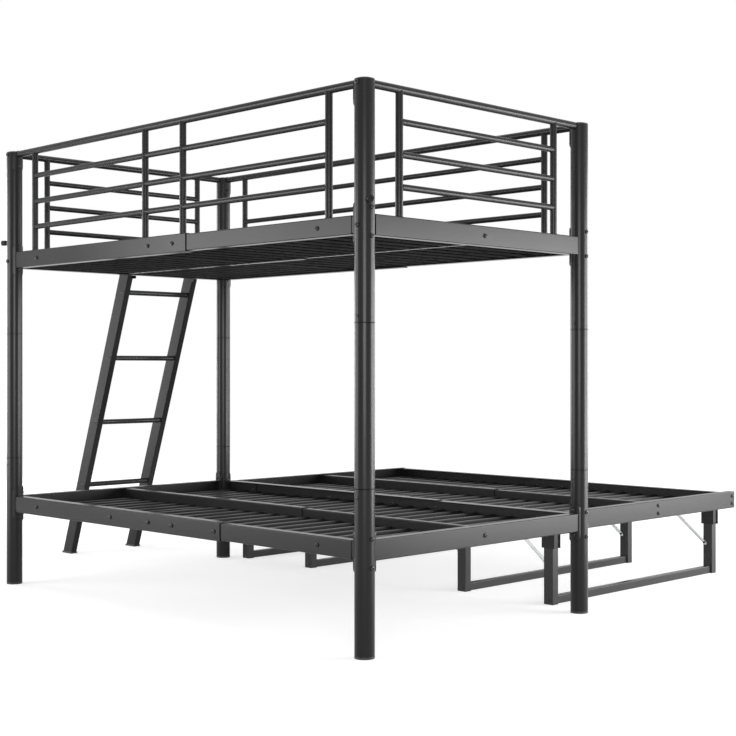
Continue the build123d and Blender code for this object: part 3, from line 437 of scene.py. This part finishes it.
def loose_pieces(node):
    """Corners of each solid in a node.

    Corners at one place are joined, and then triangles that share a corner are grouped.
    """
    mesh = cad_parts[node].data
    place = np.empty(3 * len(mesh.vertices))
    mesh.vertices.foreach_get("co", place)
    place = np.round(place.reshape(-1, 3), CORNER_DECIMALS)
    corners, joined = np.unique(place, axis=0, return_inverse=True)
    triangles = np.empty(len(mesh.loops), dtype=np.int64)
    mesh.loops.foreach_get("vertex_index", triangles)
    triangles = joined.reshape(-1)[triangles].reshape(-1, 3)
    label = np.arange(len(corners))
    while True:
        smaller = label.copy()
        np.minimum.at(smaller, triangles.ravel(), np.repeat(label[triangles].min(axis=1), 3))
        smaller = smaller[smaller]
        if np.array_equal(smaller, label):
            return [corners[label == group] for group in np.unique(label)]
        label = smaller


def make_piece(name, points, faces, finish, body, edge):
    """Turn K copies of N points, shaped (K, N, 3), and one copy's face arrays into a finished piece.

    Edges sharper than edge, in degrees, stay sharp.
    """
    points = np.asarray(points, dtype=float)
    copies, count = points.shape[:2]
    steps = np.arange(copies)[:, None, None] * count
    rows = []
    for group in faces:
        rows += (np.asarray(group)[None] + steps).reshape(-1, len(group[0])).tolist()
    mesh = bpy.data.meshes.new(name)
    mesh.from_pydata(points.reshape(-1, 3).tolist(), [], rows)
    mesh.shade_smooth()
    mesh.set_sharp_from_angle(angle=radians(edge))
    obj = bpy.data.objects.new(name, mesh)
    bpy.context.scene.collection.objects.link(obj)
    dress(obj, bpy.data.materials[finish])
    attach(obj, body)
    return obj


def full_turn(steps):
    """Angles of evenly spaced steps round a circle."""
    return np.linspace(0, 2 * np.pi, steps, endpoint=False)


def post_centre(side, end):
    """Middle of the lower section of a post."""
    low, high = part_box(f"post_{side}_{end}_lower")
    return (low + high) / 2


# Slats

CROWN_POINTS = 15
SLAT_ROWS = 4           # outer and inner side, at either end


def slat_section(half, deep, s, inset):
    """Half-open section of a slat as (x, z) below its top: two upright legs joined by an oval crown.

    The crown is the superellipse x = a sgn(cos t) |cos t|^(2/n), z = b |sin t|^(2/n) - b, with t from pi
    to 0. With inset the section is the sheet's inner side: a and b shrink by the sheet's thickness.
    """
    across, rise = half - inset, deep - s.leg - inset
    t = np.linspace(np.pi, 0, CROWN_POINTS)
    power = 2 / s.fullness
    crown_x = across * np.sign(np.cos(t)) * np.abs(np.cos(t)) ** power
    crown_z = rise * (np.abs(np.sin(t)) ** power - 1) - inset
    xs = np.concatenate([[-across], crown_x, [across]])
    zs = np.concatenate([[-deep], crown_z, [-deep]])
    return xs, zs


def slat_points(corners, s):
    """Points of one slat: its outer and inner section at either end of its length."""
    low, high = corners.min(axis=0), corners.max(axis=0)
    half, deep = (high[0] - low[0]) / 2, high[2] - low[2]
    outer, inner = slat_section(half, deep, s, 0.0), slat_section(half, deep, s, s.wall)
    rows = []
    for y in (low[1], high[1]):
        for xs, zs in (outer, inner):
            rows.append(np.stack([(low[0] + high[0]) / 2 + xs, np.full(len(xs), y), high[2] + zs], axis=1))
    return np.concatenate(rows)


def slat_faces(count):
    """Quads between the rows of a slat: outer side, inner side, both ends and the two lower edges."""
    k = np.arange(count - 1)
    out_near, in_near, out_far, in_far = (k + row * count for row in range(SLAT_ROWS))
    outer = np.stack([out_near, out_far, out_far + 1, out_near + 1], axis=1)
    inner = np.stack([in_near, in_near + 1, in_far + 1, in_far], axis=1)
    near = np.stack([out_near, out_near + 1, in_near + 1, in_near], axis=1)
    far = np.stack([out_far, in_far, in_far + 1, out_far + 1], axis=1)
    last = count - 1
    feet = np.array([[0, count, 3 * count, 2 * count],
                     [last, 2 * count + last, 3 * count + last, count + last]])
    return [outer, inner, near, far, feet]


class BUNK_OT_slats(bpy.types.Operator):
    """Press the slats of all three decks: oval crowns and open undersides"""

    bl_idname = "bunk_bed.slats"
    bl_label = "Slats"

    def execute(self, context):
        s = context.scene.bunk_slats
        for node, body in SLAT_BODIES.items():
            points = np.stack([slat_points(corners, s) for corners in loose_pieces(node)])
            faces = slat_faces(points.shape[1] // SLAT_ROWS)
            piece = make_piece(f"pressed_{node}", points, faces, "slat_coat", body, edge=35)
            # The inner side of each slat gets the near-black painted shade
            piece.data.materials.append(bpy.data.materials["slat_inside"])
            outer, inner = (len(points) * len(group) for group in faces[:2])
            which = np.zeros(len(piece.data.polygons), dtype=np.int32)
            which[outer:outer + inner] = 1
            piece.data.polygons.foreach_set("material_index", which)
            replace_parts(piece, node)
        return {"FINISHED"}


# Stays

STAY_LOOPS = 6
STAY_END_POINTS = 9


def stay_points(corners, s):
    """Loops that run from the groove of one face of a stay, round its edge, to the groove of the other.

    Each loop is a slot: two straight sides, and at either end the half ellipse (e cos t, w sin t) with t
    from -90 to 90 degrees, where w is the slot's half width and e is how far it reaches past the straight
    part.
    """
    low, high = corners.min(axis=0), corners.max(axis=0)
    middle = ((low + high) / 2)[[0, 2]]
    flat = corners[:, [0, 2]] - middle
    down = np.linalg.svd(flat, full_matrices=False)[2][0]
    down = down * -np.sign(down[1])
    across = np.array([-down[1], down[0]])
    straight = (np.ptp(flat @ down) - np.ptp(flat @ across)) / 2
    t = np.linspace(-np.pi / 2, np.pi / 2, STAY_END_POINTS)

    def loop(half_line, reach_down, reach_up, half):
        """One slot about the stay's middle, with its straight part half_line long either way."""
        lower = np.outer(half_line + reach_down * np.cos(t), down) + np.outer(half * np.sin(t), across)
        upper = np.outer(-half_line - reach_up * np.cos(t), down) - np.outer(half * np.sin(t), across)
        return middle + np.concatenate([lower, upper])

    outline = loop(straight, s.lower_end, s.upper_end, s.width / 2)
    # The groove's straight part stops a stay's width short of either pivot, and its bed is half as wide as
    # its rim
    rim, bed = (loop(straight - s.width, half, half, half) for half in (s.groove / 2, s.groove / 4))
    rows = ((bed, low[1] + s.depth), (rim, low[1]), (outline, low[1]),
            (outline, high[1]), (rim, high[1]), (bed, high[1] - s.depth))
    return np.concatenate([np.insert(row, 1, y, axis=1) for row, y in rows])


def loop_faces(rows, count):
    """Quads between loops that follow each other, and a flat face on the first loop and on the last."""
    here = np.arange(rows - 1)[:, None] * count + np.arange(count)
    beside = np.arange(rows - 1)[:, None] * count + (np.arange(count) + 1) % count
    quads = np.stack([here, here + count, beside + count, beside], axis=-1).reshape(-1, 4)
    return [quads, np.arange(count)[None], np.arange(rows * count - 1, (rows - 1) * count - 1, -1)[None]]


class BUNK_OT_stays(bpy.types.Operator):
    """Press the zinc stays that brace the trundle's legs"""

    bl_idname = "bunk_bed.stays"
    bl_label = "Stays"

    def execute(self, context):
        s = context.scene.bunk_stays
        for node in ZINC_NODES:
            points = np.stack([stay_points(corners, s) for corners in loose_pieces(node)])
            faces = loop_faces(STAY_LOOPS, points.shape[1] // STAY_LOOPS)
            piece = make_piece(f"pressed_{node}", points, faces, "bright_zinc", node, edge=30)
            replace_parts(piece, node)
        return {"FINISHED"}


# Bolts, screws and pins

HEAD_SHARE = 0.9        # corners beyond this share of a fastener's reach belong to its head
PIN_LENGTH = 30 * MM    # a pivot pin's shank is longer than this
PIN_HEAD = 3 * MM       # and its head is lower than this
TIP_SHARE = 0.8         # radius of a shank's tip, over the shank's
BEVEL_SHARE = 0.2       # length of the bevel at the tip, over the shank's radius
# Rows of a head, from its seat up, as shares of its radius and of its height
DOME_SHARES = ((0.95, 0), (1, 0.06), (1, 0.4), (0.93, 0.68), (0.78, 0.88), (0.58, 1))
RIVET_SHARES = ((0.96, 0), (1, 0.1), (1, 0.45), (0.9, 0.72), (0.7, 0.9), (0.4, 1))
# Head height, shank radius and shank length of a small screw, as shares of its head's radius
SCREW_SHARES = (0.45, 0.5, 1.5)


class Fastener(NamedTuple):
    """A fastener's seat and outward way, and the radius and length of its head and of its shank."""

    seat: np.ndarray
    way: np.ndarray
    head: float
    tall: float
    shank: float
    length: float


def measure_fastener(corners):
    """Read a fastener's measures off its corners: it is round about the axis whose other two sides agree."""
    low, high = corners.min(axis=0), corners.max(axis=0)
    extent = high - low
    along = int(np.argmin([abs(extent[(k + 1) % 3] - extent[(k + 2) % 3]) for k in range(3)]))
    centre = (low + high) / 2
    reach = np.linalg.norm(np.delete(corners - centre, along, axis=1), axis=1)
    head = reach > HEAD_SHARE * reach.max()
    head_low, head_high = corners[head, along].min(), corners[head, along].max()
    tall = head_high - head_low
    outward = head_high + head_low > low[along] + high[along]
    way = np.zeros(3)
    way[along] = 1.0 if outward else -1.0
    seat = centre.copy()
    seat[along] = head_low if outward else head_high
    return Fastener(seat, way, reach.max(), tall, reach[~head].max(), extent[along] - tall)


def is_pin(fastener):
    """Tell a pivot pin from a bolt: a long shank and a low head."""
    return fastener.length > PIN_LENGTH and fastener.tall < PIN_HEAD


def screw(seat, way, head):
    """Measures of a small screw, all in its head's proportion."""
    radius = head / 2
    return Fastener(np.array(seat), np.array(way), radius, *(share * radius for share in SCREW_SHARES))


def square_to(axes):
    """Two unit vectors square to each axis and to each other, right-handed with it."""
    first = np.cross(axes, np.eye(3)[np.argmin(np.abs(axes), axis=1)])
    first /= np.linalg.norm(first, axis=1, keepdims=True)
    return first, np.cross(axes, first)


def turned_points(radii, heights, six_sided, seats, axes, segments):
    """Surface of revolution (r cos a, r sin a, h) about each axis from its seat.

    In a six-sided row the radius is the row's half width over the cosine of the angle to the nearest flat.
    The last two points are the poles, at the heights of the first and the last row.
    """
    angle = full_turn(segments)
    flats = 1 / np.cos((angle + np.pi / 6) % (np.pi / 3) - np.pi / 6)
    radius = radii[:, :, None] * np.where(np.array(six_sided)[:, None], flats, 1.0)
    first, second = square_to(axes)
    ring = (radius[..., None] * (np.cos(angle)[:, None] * first[:, None, None]
                                 + np.sin(angle)[:, None] * second[:, None, None]))
    ring = ring + heights[:, :, None, None] * axes[:, None, None]
    ring = (ring + seats[:, None, None]).reshape(len(seats), -1, 3)
    poles = np.stack([seats + heights[:, :1] * axes, seats + heights[:, -1:] * axes], axis=1)
    return np.concatenate([ring, poles], axis=1)


def turned_faces(rows, segments):
    """Faces of a turned shape: quads between its rings and a fan to the pole at either end."""
    here = np.arange(rows - 1)[:, None] * segments + np.arange(segments)
    beside = np.arange(rows - 1)[:, None] * segments + (np.arange(segments) + 1) % segments
    quads = np.stack([here, beside, beside + segments, here + segments], axis=-1).reshape(-1, 4)
    ring = np.arange(segments)
    after = (ring + 1) % segments
    last = (rows - 1) * segments
    low, high = np.full(segments, rows * segments), np.full(segments, rows * segments + 1)
    return [quads, np.stack([low, after, ring], axis=1), np.stack([high, last + ring, last + after], axis=1)]


def make_fasteners(name, fasteners, crown, socket, body, s):
    """Make fasteners as one piece: a bevelled shank, the rows of a crown, and those of a six-sided socket."""
    seats = np.array([fastener.seat for fastener in fasteners])
    axes = np.array([fastener.way for fastener in fasteners])
    head, tall, shank, length = np.array([fastener[2:] for fastener in fasteners]).T
    shares = (*crown, *socket)
    radii = [TIP_SHARE * shank, shank, shank] + [wide * head for wide, _ in shares]
    heights = [-length, BEVEL_SHARE * shank - length, np.zeros_like(shank)] + [up * tall for _, up in shares]
    six_sided = [False] * (len(radii) - len(socket)) + [True] * len(socket)
    points = turned_points(np.array(radii).T, np.array(heights).T, six_sided, seats, axes, s.segments)
    faces = turned_faces(len(radii), s.segments)
    return make_piece(name, points, faces, "blackened_steel", body, edge=50)


class BUNK_OT_fasteners(bpy.types.Operator):
    """Make the bolts, screws and pins with domed heads and six-sided sockets"""

    bl_idname = "bunk_bed.fasteners"
    bl_label = "Bolts, screws and pins"

    def execute(self, context):
        s = context.scene.bunk_fasteners
        socket = ((s.socket, 1), (s.socket, s.socket_floor))
        for node, body in FASTENER_BODIES.items():
            fasteners = [measure_fastener(corners) for corners in loose_pieces(node)]
            bolts = [fastener for fastener in fasteners if not is_pin(fastener)]
            pins = [fastener for fastener in fasteners if is_pin(fastener)]
            name = node.replace("_and_pins", "") + "_dressed"
            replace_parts(make_fasteners(name, bolts, DOME_SHARES, socket, body, s), node)
            if pins:
                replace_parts(make_fasteners("leg_pivot_pins", pins, RIVET_SHARES, (), body, s), node)
        rungs = [(corners.min(axis=0) + corners.max(axis=0)) / 2 for corners in loose_pieces("ladder_rungs")]
        low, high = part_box("ladder_stiles")
        screws = [screw((x + step, y, z), (0.0, way, 0.0), s.rung_screw)
                  for x, _, z in rungs for step in (-s.rung_step, s.rung_step)
                  for way, y in ((-1.0, low.y), (1.0, high.y))]
        make_fasteners("rung_screws", screws, DOME_SHARES, socket, "bunk", s)
        for node in LEG_FRAMES:
            low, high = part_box(node)
            screws = [screw(((low.x + high.x) / 2, y, s.bar_rise), (0.0, way, 0.0), s.bar_screw)
                      for way, y in ((-1.0, low.y), (1.0, high.y))]
            name = node.replace("leg_frame", "bar_screws")
            make_fasteners(name, screws, DOME_SHARES, socket, node, s)
        return {"FINISHED"}


# Weld beads

BEAD_AROUND = 20
BEAD_ACROSS = 6
BEAD_RIPPLES = 10       # swells in one turn of a bead


def bead_points(joints, s):
    """Ring-shaped beads: the centre line is where a stub of radius r leaves a tube of radius R.

    With A along the tube, D along the stub and B square to both, the line is r cos t A + r sin t B + h D,
    where h is the root of R squared less the square of r sin t, or 0 on a flat seat. The bead is a small
    circle carried along it.
    """
    t = full_turn(BEAD_AROUND)[:, None]
    p = full_turn(BEAD_ACROSS)[None, :]
    thick = s.bead * (1 + s.ripple * np.sin(BEAD_RIPPLES * t))
    rings = []
    for seat, tube_way, stub_way, tube_radius, stub_radius in joints:
        a, d = np.array(tube_way, dtype=float), np.array(stub_way, dtype=float)
        b = np.cross(a, d)
        rise = np.sqrt(np.maximum(tube_radius ** 2 - (stub_radius * np.sin(t)) ** 2, 0))
        outward = np.cos(t)[..., None] * a + np.sin(t)[..., None] * b
        line = np.array(seat) + stub_radius * outward + rise[..., None] * d
        circle = np.cos(p)[..., None] * outward + np.sin(p)[..., None] * d
        rings.append((line + thick[..., None] * circle).reshape(-1, 3))
    return np.stack(rings)


def ring_faces(around, across):
    """Quads of a closed ring whose second direction runs first, so that they face outwards."""
    i, j = np.meshgrid(np.arange(around), np.arange(across), indexing="ij")
    here, up = i * across + j, i * across + (j + 1) % across
    there, beyond = (i + 1) % around * across + j, (i + 1) % around * across + (j + 1) % across
    return [np.stack([here, up, beyond, there], axis=-1).reshape(-1, 4)]


def upright_joints(x, y, along, seat, ways, s):
    """Joints of one upright: under the top tube, on the rail, and with the bars that leave it in each way.

    A joint is its place, the way of the tube, the way of the stub, and the radius of each. The tube's
    radius is 0 on the flat edge of the rail.
    """
    joints = [((x, y, s.top_height), along, (0, 0, -1), s.top_radius, s.upright_radius),
              ((x, y, seat), along, (0, 0, 1), 0, s.upright_radius)]
    for z in s.bar_heights:
        for way in ways:
            bar = tuple(way * part for part in along)
            joints.append(((x, y, z), (0, 0, 1), bar, s.upright_radius, s.bar_radius))
    return joints


def guard_joints(s):
    """Welded joints of both long guards and both end frames, from the places of the posts and rails."""
    foot, ladder = post_centre("back", "foot").x, post_centre("back", "ladder").x
    back, front = post_centre("back", "foot").y, post_centre("front", "foot").y
    middle = (foot + ladder) / 2
    joints = []
    # The ladder half of a rail laps over the middle, so both inner uprights stand on it
    for side, y in (("back", back), ("front", front)):
        foot_top, ladder_top = (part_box(f"upper_rail_{side}_{end}_half")[1].z for end in ("foot", "ladder"))
        for x, seat, ways in ((foot + s.post_to_upright, foot_top, (1,)),
                              (ladder - s.post_to_upright, ladder_top, (-1,)),
                              (middle - s.middle_to_upright, ladder_top, (-1, 1)),
                              (middle + s.middle_to_upright, ladder_top, (-1, 1))):
            joints += upright_joints(x, y, (1, 0, 0), seat, ways, s)
    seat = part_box("upper_rail_back_ladder_half")[1].z
    for x in (foot, ladder):
        joints += upright_joints(x, front + s.end_upright, (0, 1, 0), seat, (1,), s)
        joints += upright_joints(x, back - s.end_upright, (0, 1, 0), seat, (-1,), s)
    return joints


class BUNK_OT_welds(bpy.types.Operator):
    """Lay a bead round each welded joint of the guard and the end frames"""

    bl_idname = "bunk_bed.welds"
    bl_label = "Weld beads"

    def execute(self, context):
        s = context.scene.bunk_welds
        make_piece("guard_weld_beads", bead_points(guard_joints(s), s), ring_faces(BEAD_AROUND, BEAD_ACROSS),
                   "powder_coat", "bunk", edge=80)
        return {"FINISHED"}


# Post seams, drawn as rings of painted shade

SEAM_AROUND = 48
SEAM_ACROSS = 8
SEAM_POWER = 0.4        # 1 is an oval band, and less is squarer


def seam_points(centres, radius, s):
    """Rings round the posts: a slot-shaped loop turned about each post's axis.

    A ring's point is (r(p) cos t, r(p) sin t, z(p)), where (r, z) runs round a rounded band that reaches
    from the seam's depth to its proud face.
    """
    t = full_turn(SEAM_AROUND)[:, None]
    p = full_turn(SEAM_ACROSS)[None, :] + np.pi / SEAM_ACROSS
    half, mid = (s.proud + s.depth) / 2, radius + (s.proud - s.depth) / 2
    r = mid + half * np.sign(np.cos(p)) * np.abs(np.cos(p)) ** SEAM_POWER
    z = s.height / 2 * np.sign(np.sin(p)) * np.abs(np.sin(p)) ** SEAM_POWER
    ring = np.stack([r * np.cos(t), r * np.sin(t), z + 0 * t], axis=-1).reshape(-1, 3)
    return np.array(centres)[:, None] + ring


class BUNK_OT_seams(bpy.types.Operator):
    """Draw a near-black ring of painted shade where two sections of a post meet"""

    bl_idname = "bunk_bed.seams"
    bl_label = "Post seams"

    def execute(self, context):
        s = context.scene.bunk_seams
        centres = []
        for post in ("back_foot", "back_ladder", "front_foot", "front_ladder"):
            sections = [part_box(f"post_{post}_{level}") for level in ("lower", "middle", "upper")]
            low, high = sections[0]
            for below, above in zip(sections, sections[1:]):
                centres.append(((low.x + high.x) / 2, (low.y + high.y) / 2, (below[1].z + above[0].z) / 2))
        low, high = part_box("post_front_ladder_lower")
        points = seam_points(centres, (high.x - low.x) / 2, s)
        # The ring takes the near-black painted shade in place of the shade in the seam's gap
        make_piece("post_seams", points, ring_faces(SEAM_AROUND, SEAM_ACROSS), "slat_inside", "bunk",
                   edge=80)
        return {"FINISHED"}


# Studio

VIEW_END = 100.0        # metres that the camera sees
AIM = (0.9, -0.9, 0.8)  # most lamps look at this place inside the bed


class Lamp(NamedTuple):
    """A soft lamp: its place, its width and height, and what it looks at, from the back foot post's axis."""

    place: tuple
    size: tuple
    aim: tuple = AIM


# Lamps by the setting of their strength
LAMPS = {
    "key": Lamp(place=(-3.0, -3.4, 0.95), size=(2.6, 1.5)),
    "low": Lamp(place=(-1.55, -3.2, 0.27), size=(3.2, 0.5), aim=(1.0, -3.2, 0.27)),
    "fill": Lamp(place=(3.4, 3.0, 1.0), size=(2.4, 1.9)),
    "front": Lamp(place=(-3.4, 3.4, 1.2), size=(2.4, 1.5)),
    "ladder": Lamp(place=(6.3, -0.177, 1.2), size=(3.4, 2.0)),
    "trundle": Lamp(place=(-0.5, -6.1, 1.2), size=(3.8, 2.0)),
    "top": Lamp(place=(AIM[0], AIM[1], 4.6), size=(4.0, 4.0)),
}


def seen_mix(tree, unseen, seen):
    """Give one shader to rays from the camera, from mirrors and from glass, and another to all other rays."""
    path = tree.nodes.new("ShaderNodeLightPath")
    direct = math_node(tree, "MAXIMUM", path.outputs["Is Camera Ray"], path.outputs["Is Glossy Ray"])
    direct = math_node(tree, "MAXIMUM", direct, path.outputs["Is Transmission Ray"])
    mix = tree.nodes.new("ShaderNodeMixShader")
    tree.links.new(direct, mix.inputs[0])
    tree.links.new(unseen, mix.inputs[1])
    tree.links.new(seen, mix.inputs[2])
    return mix.outputs[0]


def floor_paper(s):
    """Make the floor's material: dim to scattered light, and seen as a pale sheet that whitens outwards."""
    material = bpy.data.materials.new("floor")
    material.use_nodes = True
    tree = material.node_tree
    surface = tree.nodes["Principled BSDF"]
    surface.inputs["Base Color"].default_value = (*s.bounce_colour, 1)
    surface.inputs["Roughness"].default_value = 1.0
    surface.inputs["Specular IOR Level"].default_value = 0.0
    paper = tree.nodes.new("ShaderNodeBsdfDiffuse")
    paper.inputs["Color"].default_value = (*s.floor_colour, 1)
    glow = tree.nodes.new("ShaderNodeEmission")
    place = tree.nodes.new("ShaderNodeTexCoord")
    away = tree.nodes.new("ShaderNodeVectorMath")
    away.operation = "LENGTH"
    white = tree.nodes.new("ShaderNodeMapRange")
    white.interpolation_type = "SMOOTHSTEP"
    for label, value in (("From Min", s.near_reach), ("From Max", s.far_reach),
                         ("To Min", s.near_white), ("To Max", s.far_white)):
        white.inputs[label].default_value = value
    sheet = tree.nodes.new("ShaderNodeAddShader")
    tree.links.new(place.outputs["Object"], away.inputs[0])
    tree.links.new(away.outputs["Value"], white.inputs["Value"])
    tree.links.new(white.outputs[0], glow.inputs["Strength"])
    tree.links.new(paper.outputs[0], sheet.inputs[0])
    tree.links.new(glow.outputs[0], sheet.inputs[1])
    seen = seen_mix(tree, surface.outputs[0], sheet.outputs[0])
    tree.links.new(seen, tree.nodes["Material Output"].inputs[0])
    return material


def lay_floor(scene, s):
    """Lay one square sheet as the floor."""
    half = s.floor_half
    mesh = bpy.data.meshes.new("floor")
    corners = [(-half, -half, 0), (half, -half, 0), (half, half, 0), (-half, half, 0)]
    mesh.from_pydata(corners, [], [(0, 1, 2, 3)])
    mesh.materials.append(floor_paper(s))
    floor = bpy.data.objects.new("floor", mesh)
    scene.collection.objects.link(floor)


def light_world(scene, s):
    """Light the scene evenly from all round, and show plain white behind it."""
    world = scene.world or bpy.data.worlds.new("studio")
    scene.world = world
    world.use_nodes = True
    tree = world.node_tree
    sky, white = tree.nodes["Background"], tree.nodes.new("ShaderNodeBackground")
    for background, strength in ((sky, s.sky), (white, 1.0)):
        background.inputs["Color"].default_value = (1, 1, 1, 1)
        background.inputs["Strength"].default_value = strength
    tree.links.new(seen_mix(tree, sky.outputs[0], white.outputs[0]), tree.nodes["World Output"].inputs[0])


def from_post(place):
    """Turn a place measured from the axis of the back foot post at the floor into the scene's."""
    post = post_centre("back", "foot")
    return Vector((post.x + place[0], post.y + place[1], place[2]))


def set_lamp(scene, name, lamp, power):
    """Add a rectangular soft lamp that looks at its aim."""
    data = bpy.data.lights.new(name, "AREA")
    data.shape = "RECTANGLE"
    data.size, data.size_y = lamp.size
    data.energy = power
    obj = bpy.data.objects.new(name, data)
    scene.collection.objects.link(obj)
    obj.location = from_post(lamp.place)
    obj.rotation_euler = (from_post(lamp.aim) - obj.location).to_track_quat("-Z", "Y").to_euler()


def set_camera(scene, s):
    """Stand a level camera at the photograph's place."""
    camera = bpy.data.objects.new("camera", bpy.data.cameras.new("camera"))
    scene.collection.objects.link(camera)
    camera.location = from_post((-s.back_from_post, s.aside_from_post, s.camera_height))
    camera.rotation_euler = (radians(90), 0, s.heading)
    camera.data.sensor_width = s.sensor
    camera.data.lens = s.lens
    camera.data.shift_y = s.rise
    camera.data.clip_end = VIEW_END
    scene.camera = camera


class BUNK_OT_stage(bpy.types.Operator):
    """Lay the floor and set the lamps and the camera"""

    bl_idname = "bunk_bed.stage"
    bl_label = "Studio"

    def execute(self, context):
        scene, s = context.scene, context.scene.bunk_stage
        lay_floor(scene, s)
        light_world(scene, s)
        for name, lamp in LAMPS.items():
            set_lamp(scene, f"{name}_lamp", lamp, getattr(s, name))
        set_camera(scene, s)
        scene.view_settings.view_transform = "Standard"
        return {"FINISHED"}


# Add-on

SETTINGS = {
    "bunk_finish": FinishSizes, "bunk_slats": SlatSizes, "bunk_stays": StaySizes,
    "bunk_fasteners": FastenerSizes, "bunk_welds": WeldSizes, "bunk_seams": SeamSizes,
    "bunk_stage": StageSizes,
}
OPERATORS = (BUNK_OT_finishes, BUNK_OT_slats, BUNK_OT_stays, BUNK_OT_fasteners, BUNK_OT_welds,
             BUNK_OT_seams, BUNK_OT_stage)


class BUNK_PT_panel(bpy.types.Panel):
    """The bed's pieces in the sidebar"""

    bl_idname = "BUNK_PT_panel"
    bl_label = "Bunk bed"
    bl_space_type = "VIEW_3D"
    bl_region_type = "UI"
    bl_category = "Bunk bed"

    def draw(self, context):
        for operator in OPERATORS:
            self.layout.operator(operator.bl_idname)


def register():
    """Register the settings, the operators and the panel."""
    for cls in (*SETTINGS.values(), *OPERATORS, BUNK_PT_panel):
        bpy.utils.register_class(cls)
    for name, cls in SETTINGS.items():
        setattr(bpy.types.Scene, name, PointerProperty(type=cls))


def unregister():
    """Remove the settings from the scene, and then every class in reverse order."""
    for name in SETTINGS:
        delattr(bpy.types.Scene, name)
    for cls in reversed((*SETTINGS.values(), *OPERATORS, BUNK_PT_panel)):
        bpy.utils.unregister_class(cls)


def main():
    """Build everything in order."""
    register()
    for operator in OPERATORS:
        group, name = operator.bl_idname.split(".")
        getattr(getattr(bpy.ops, group), name)()


if __name__ == "__main__":
    main()
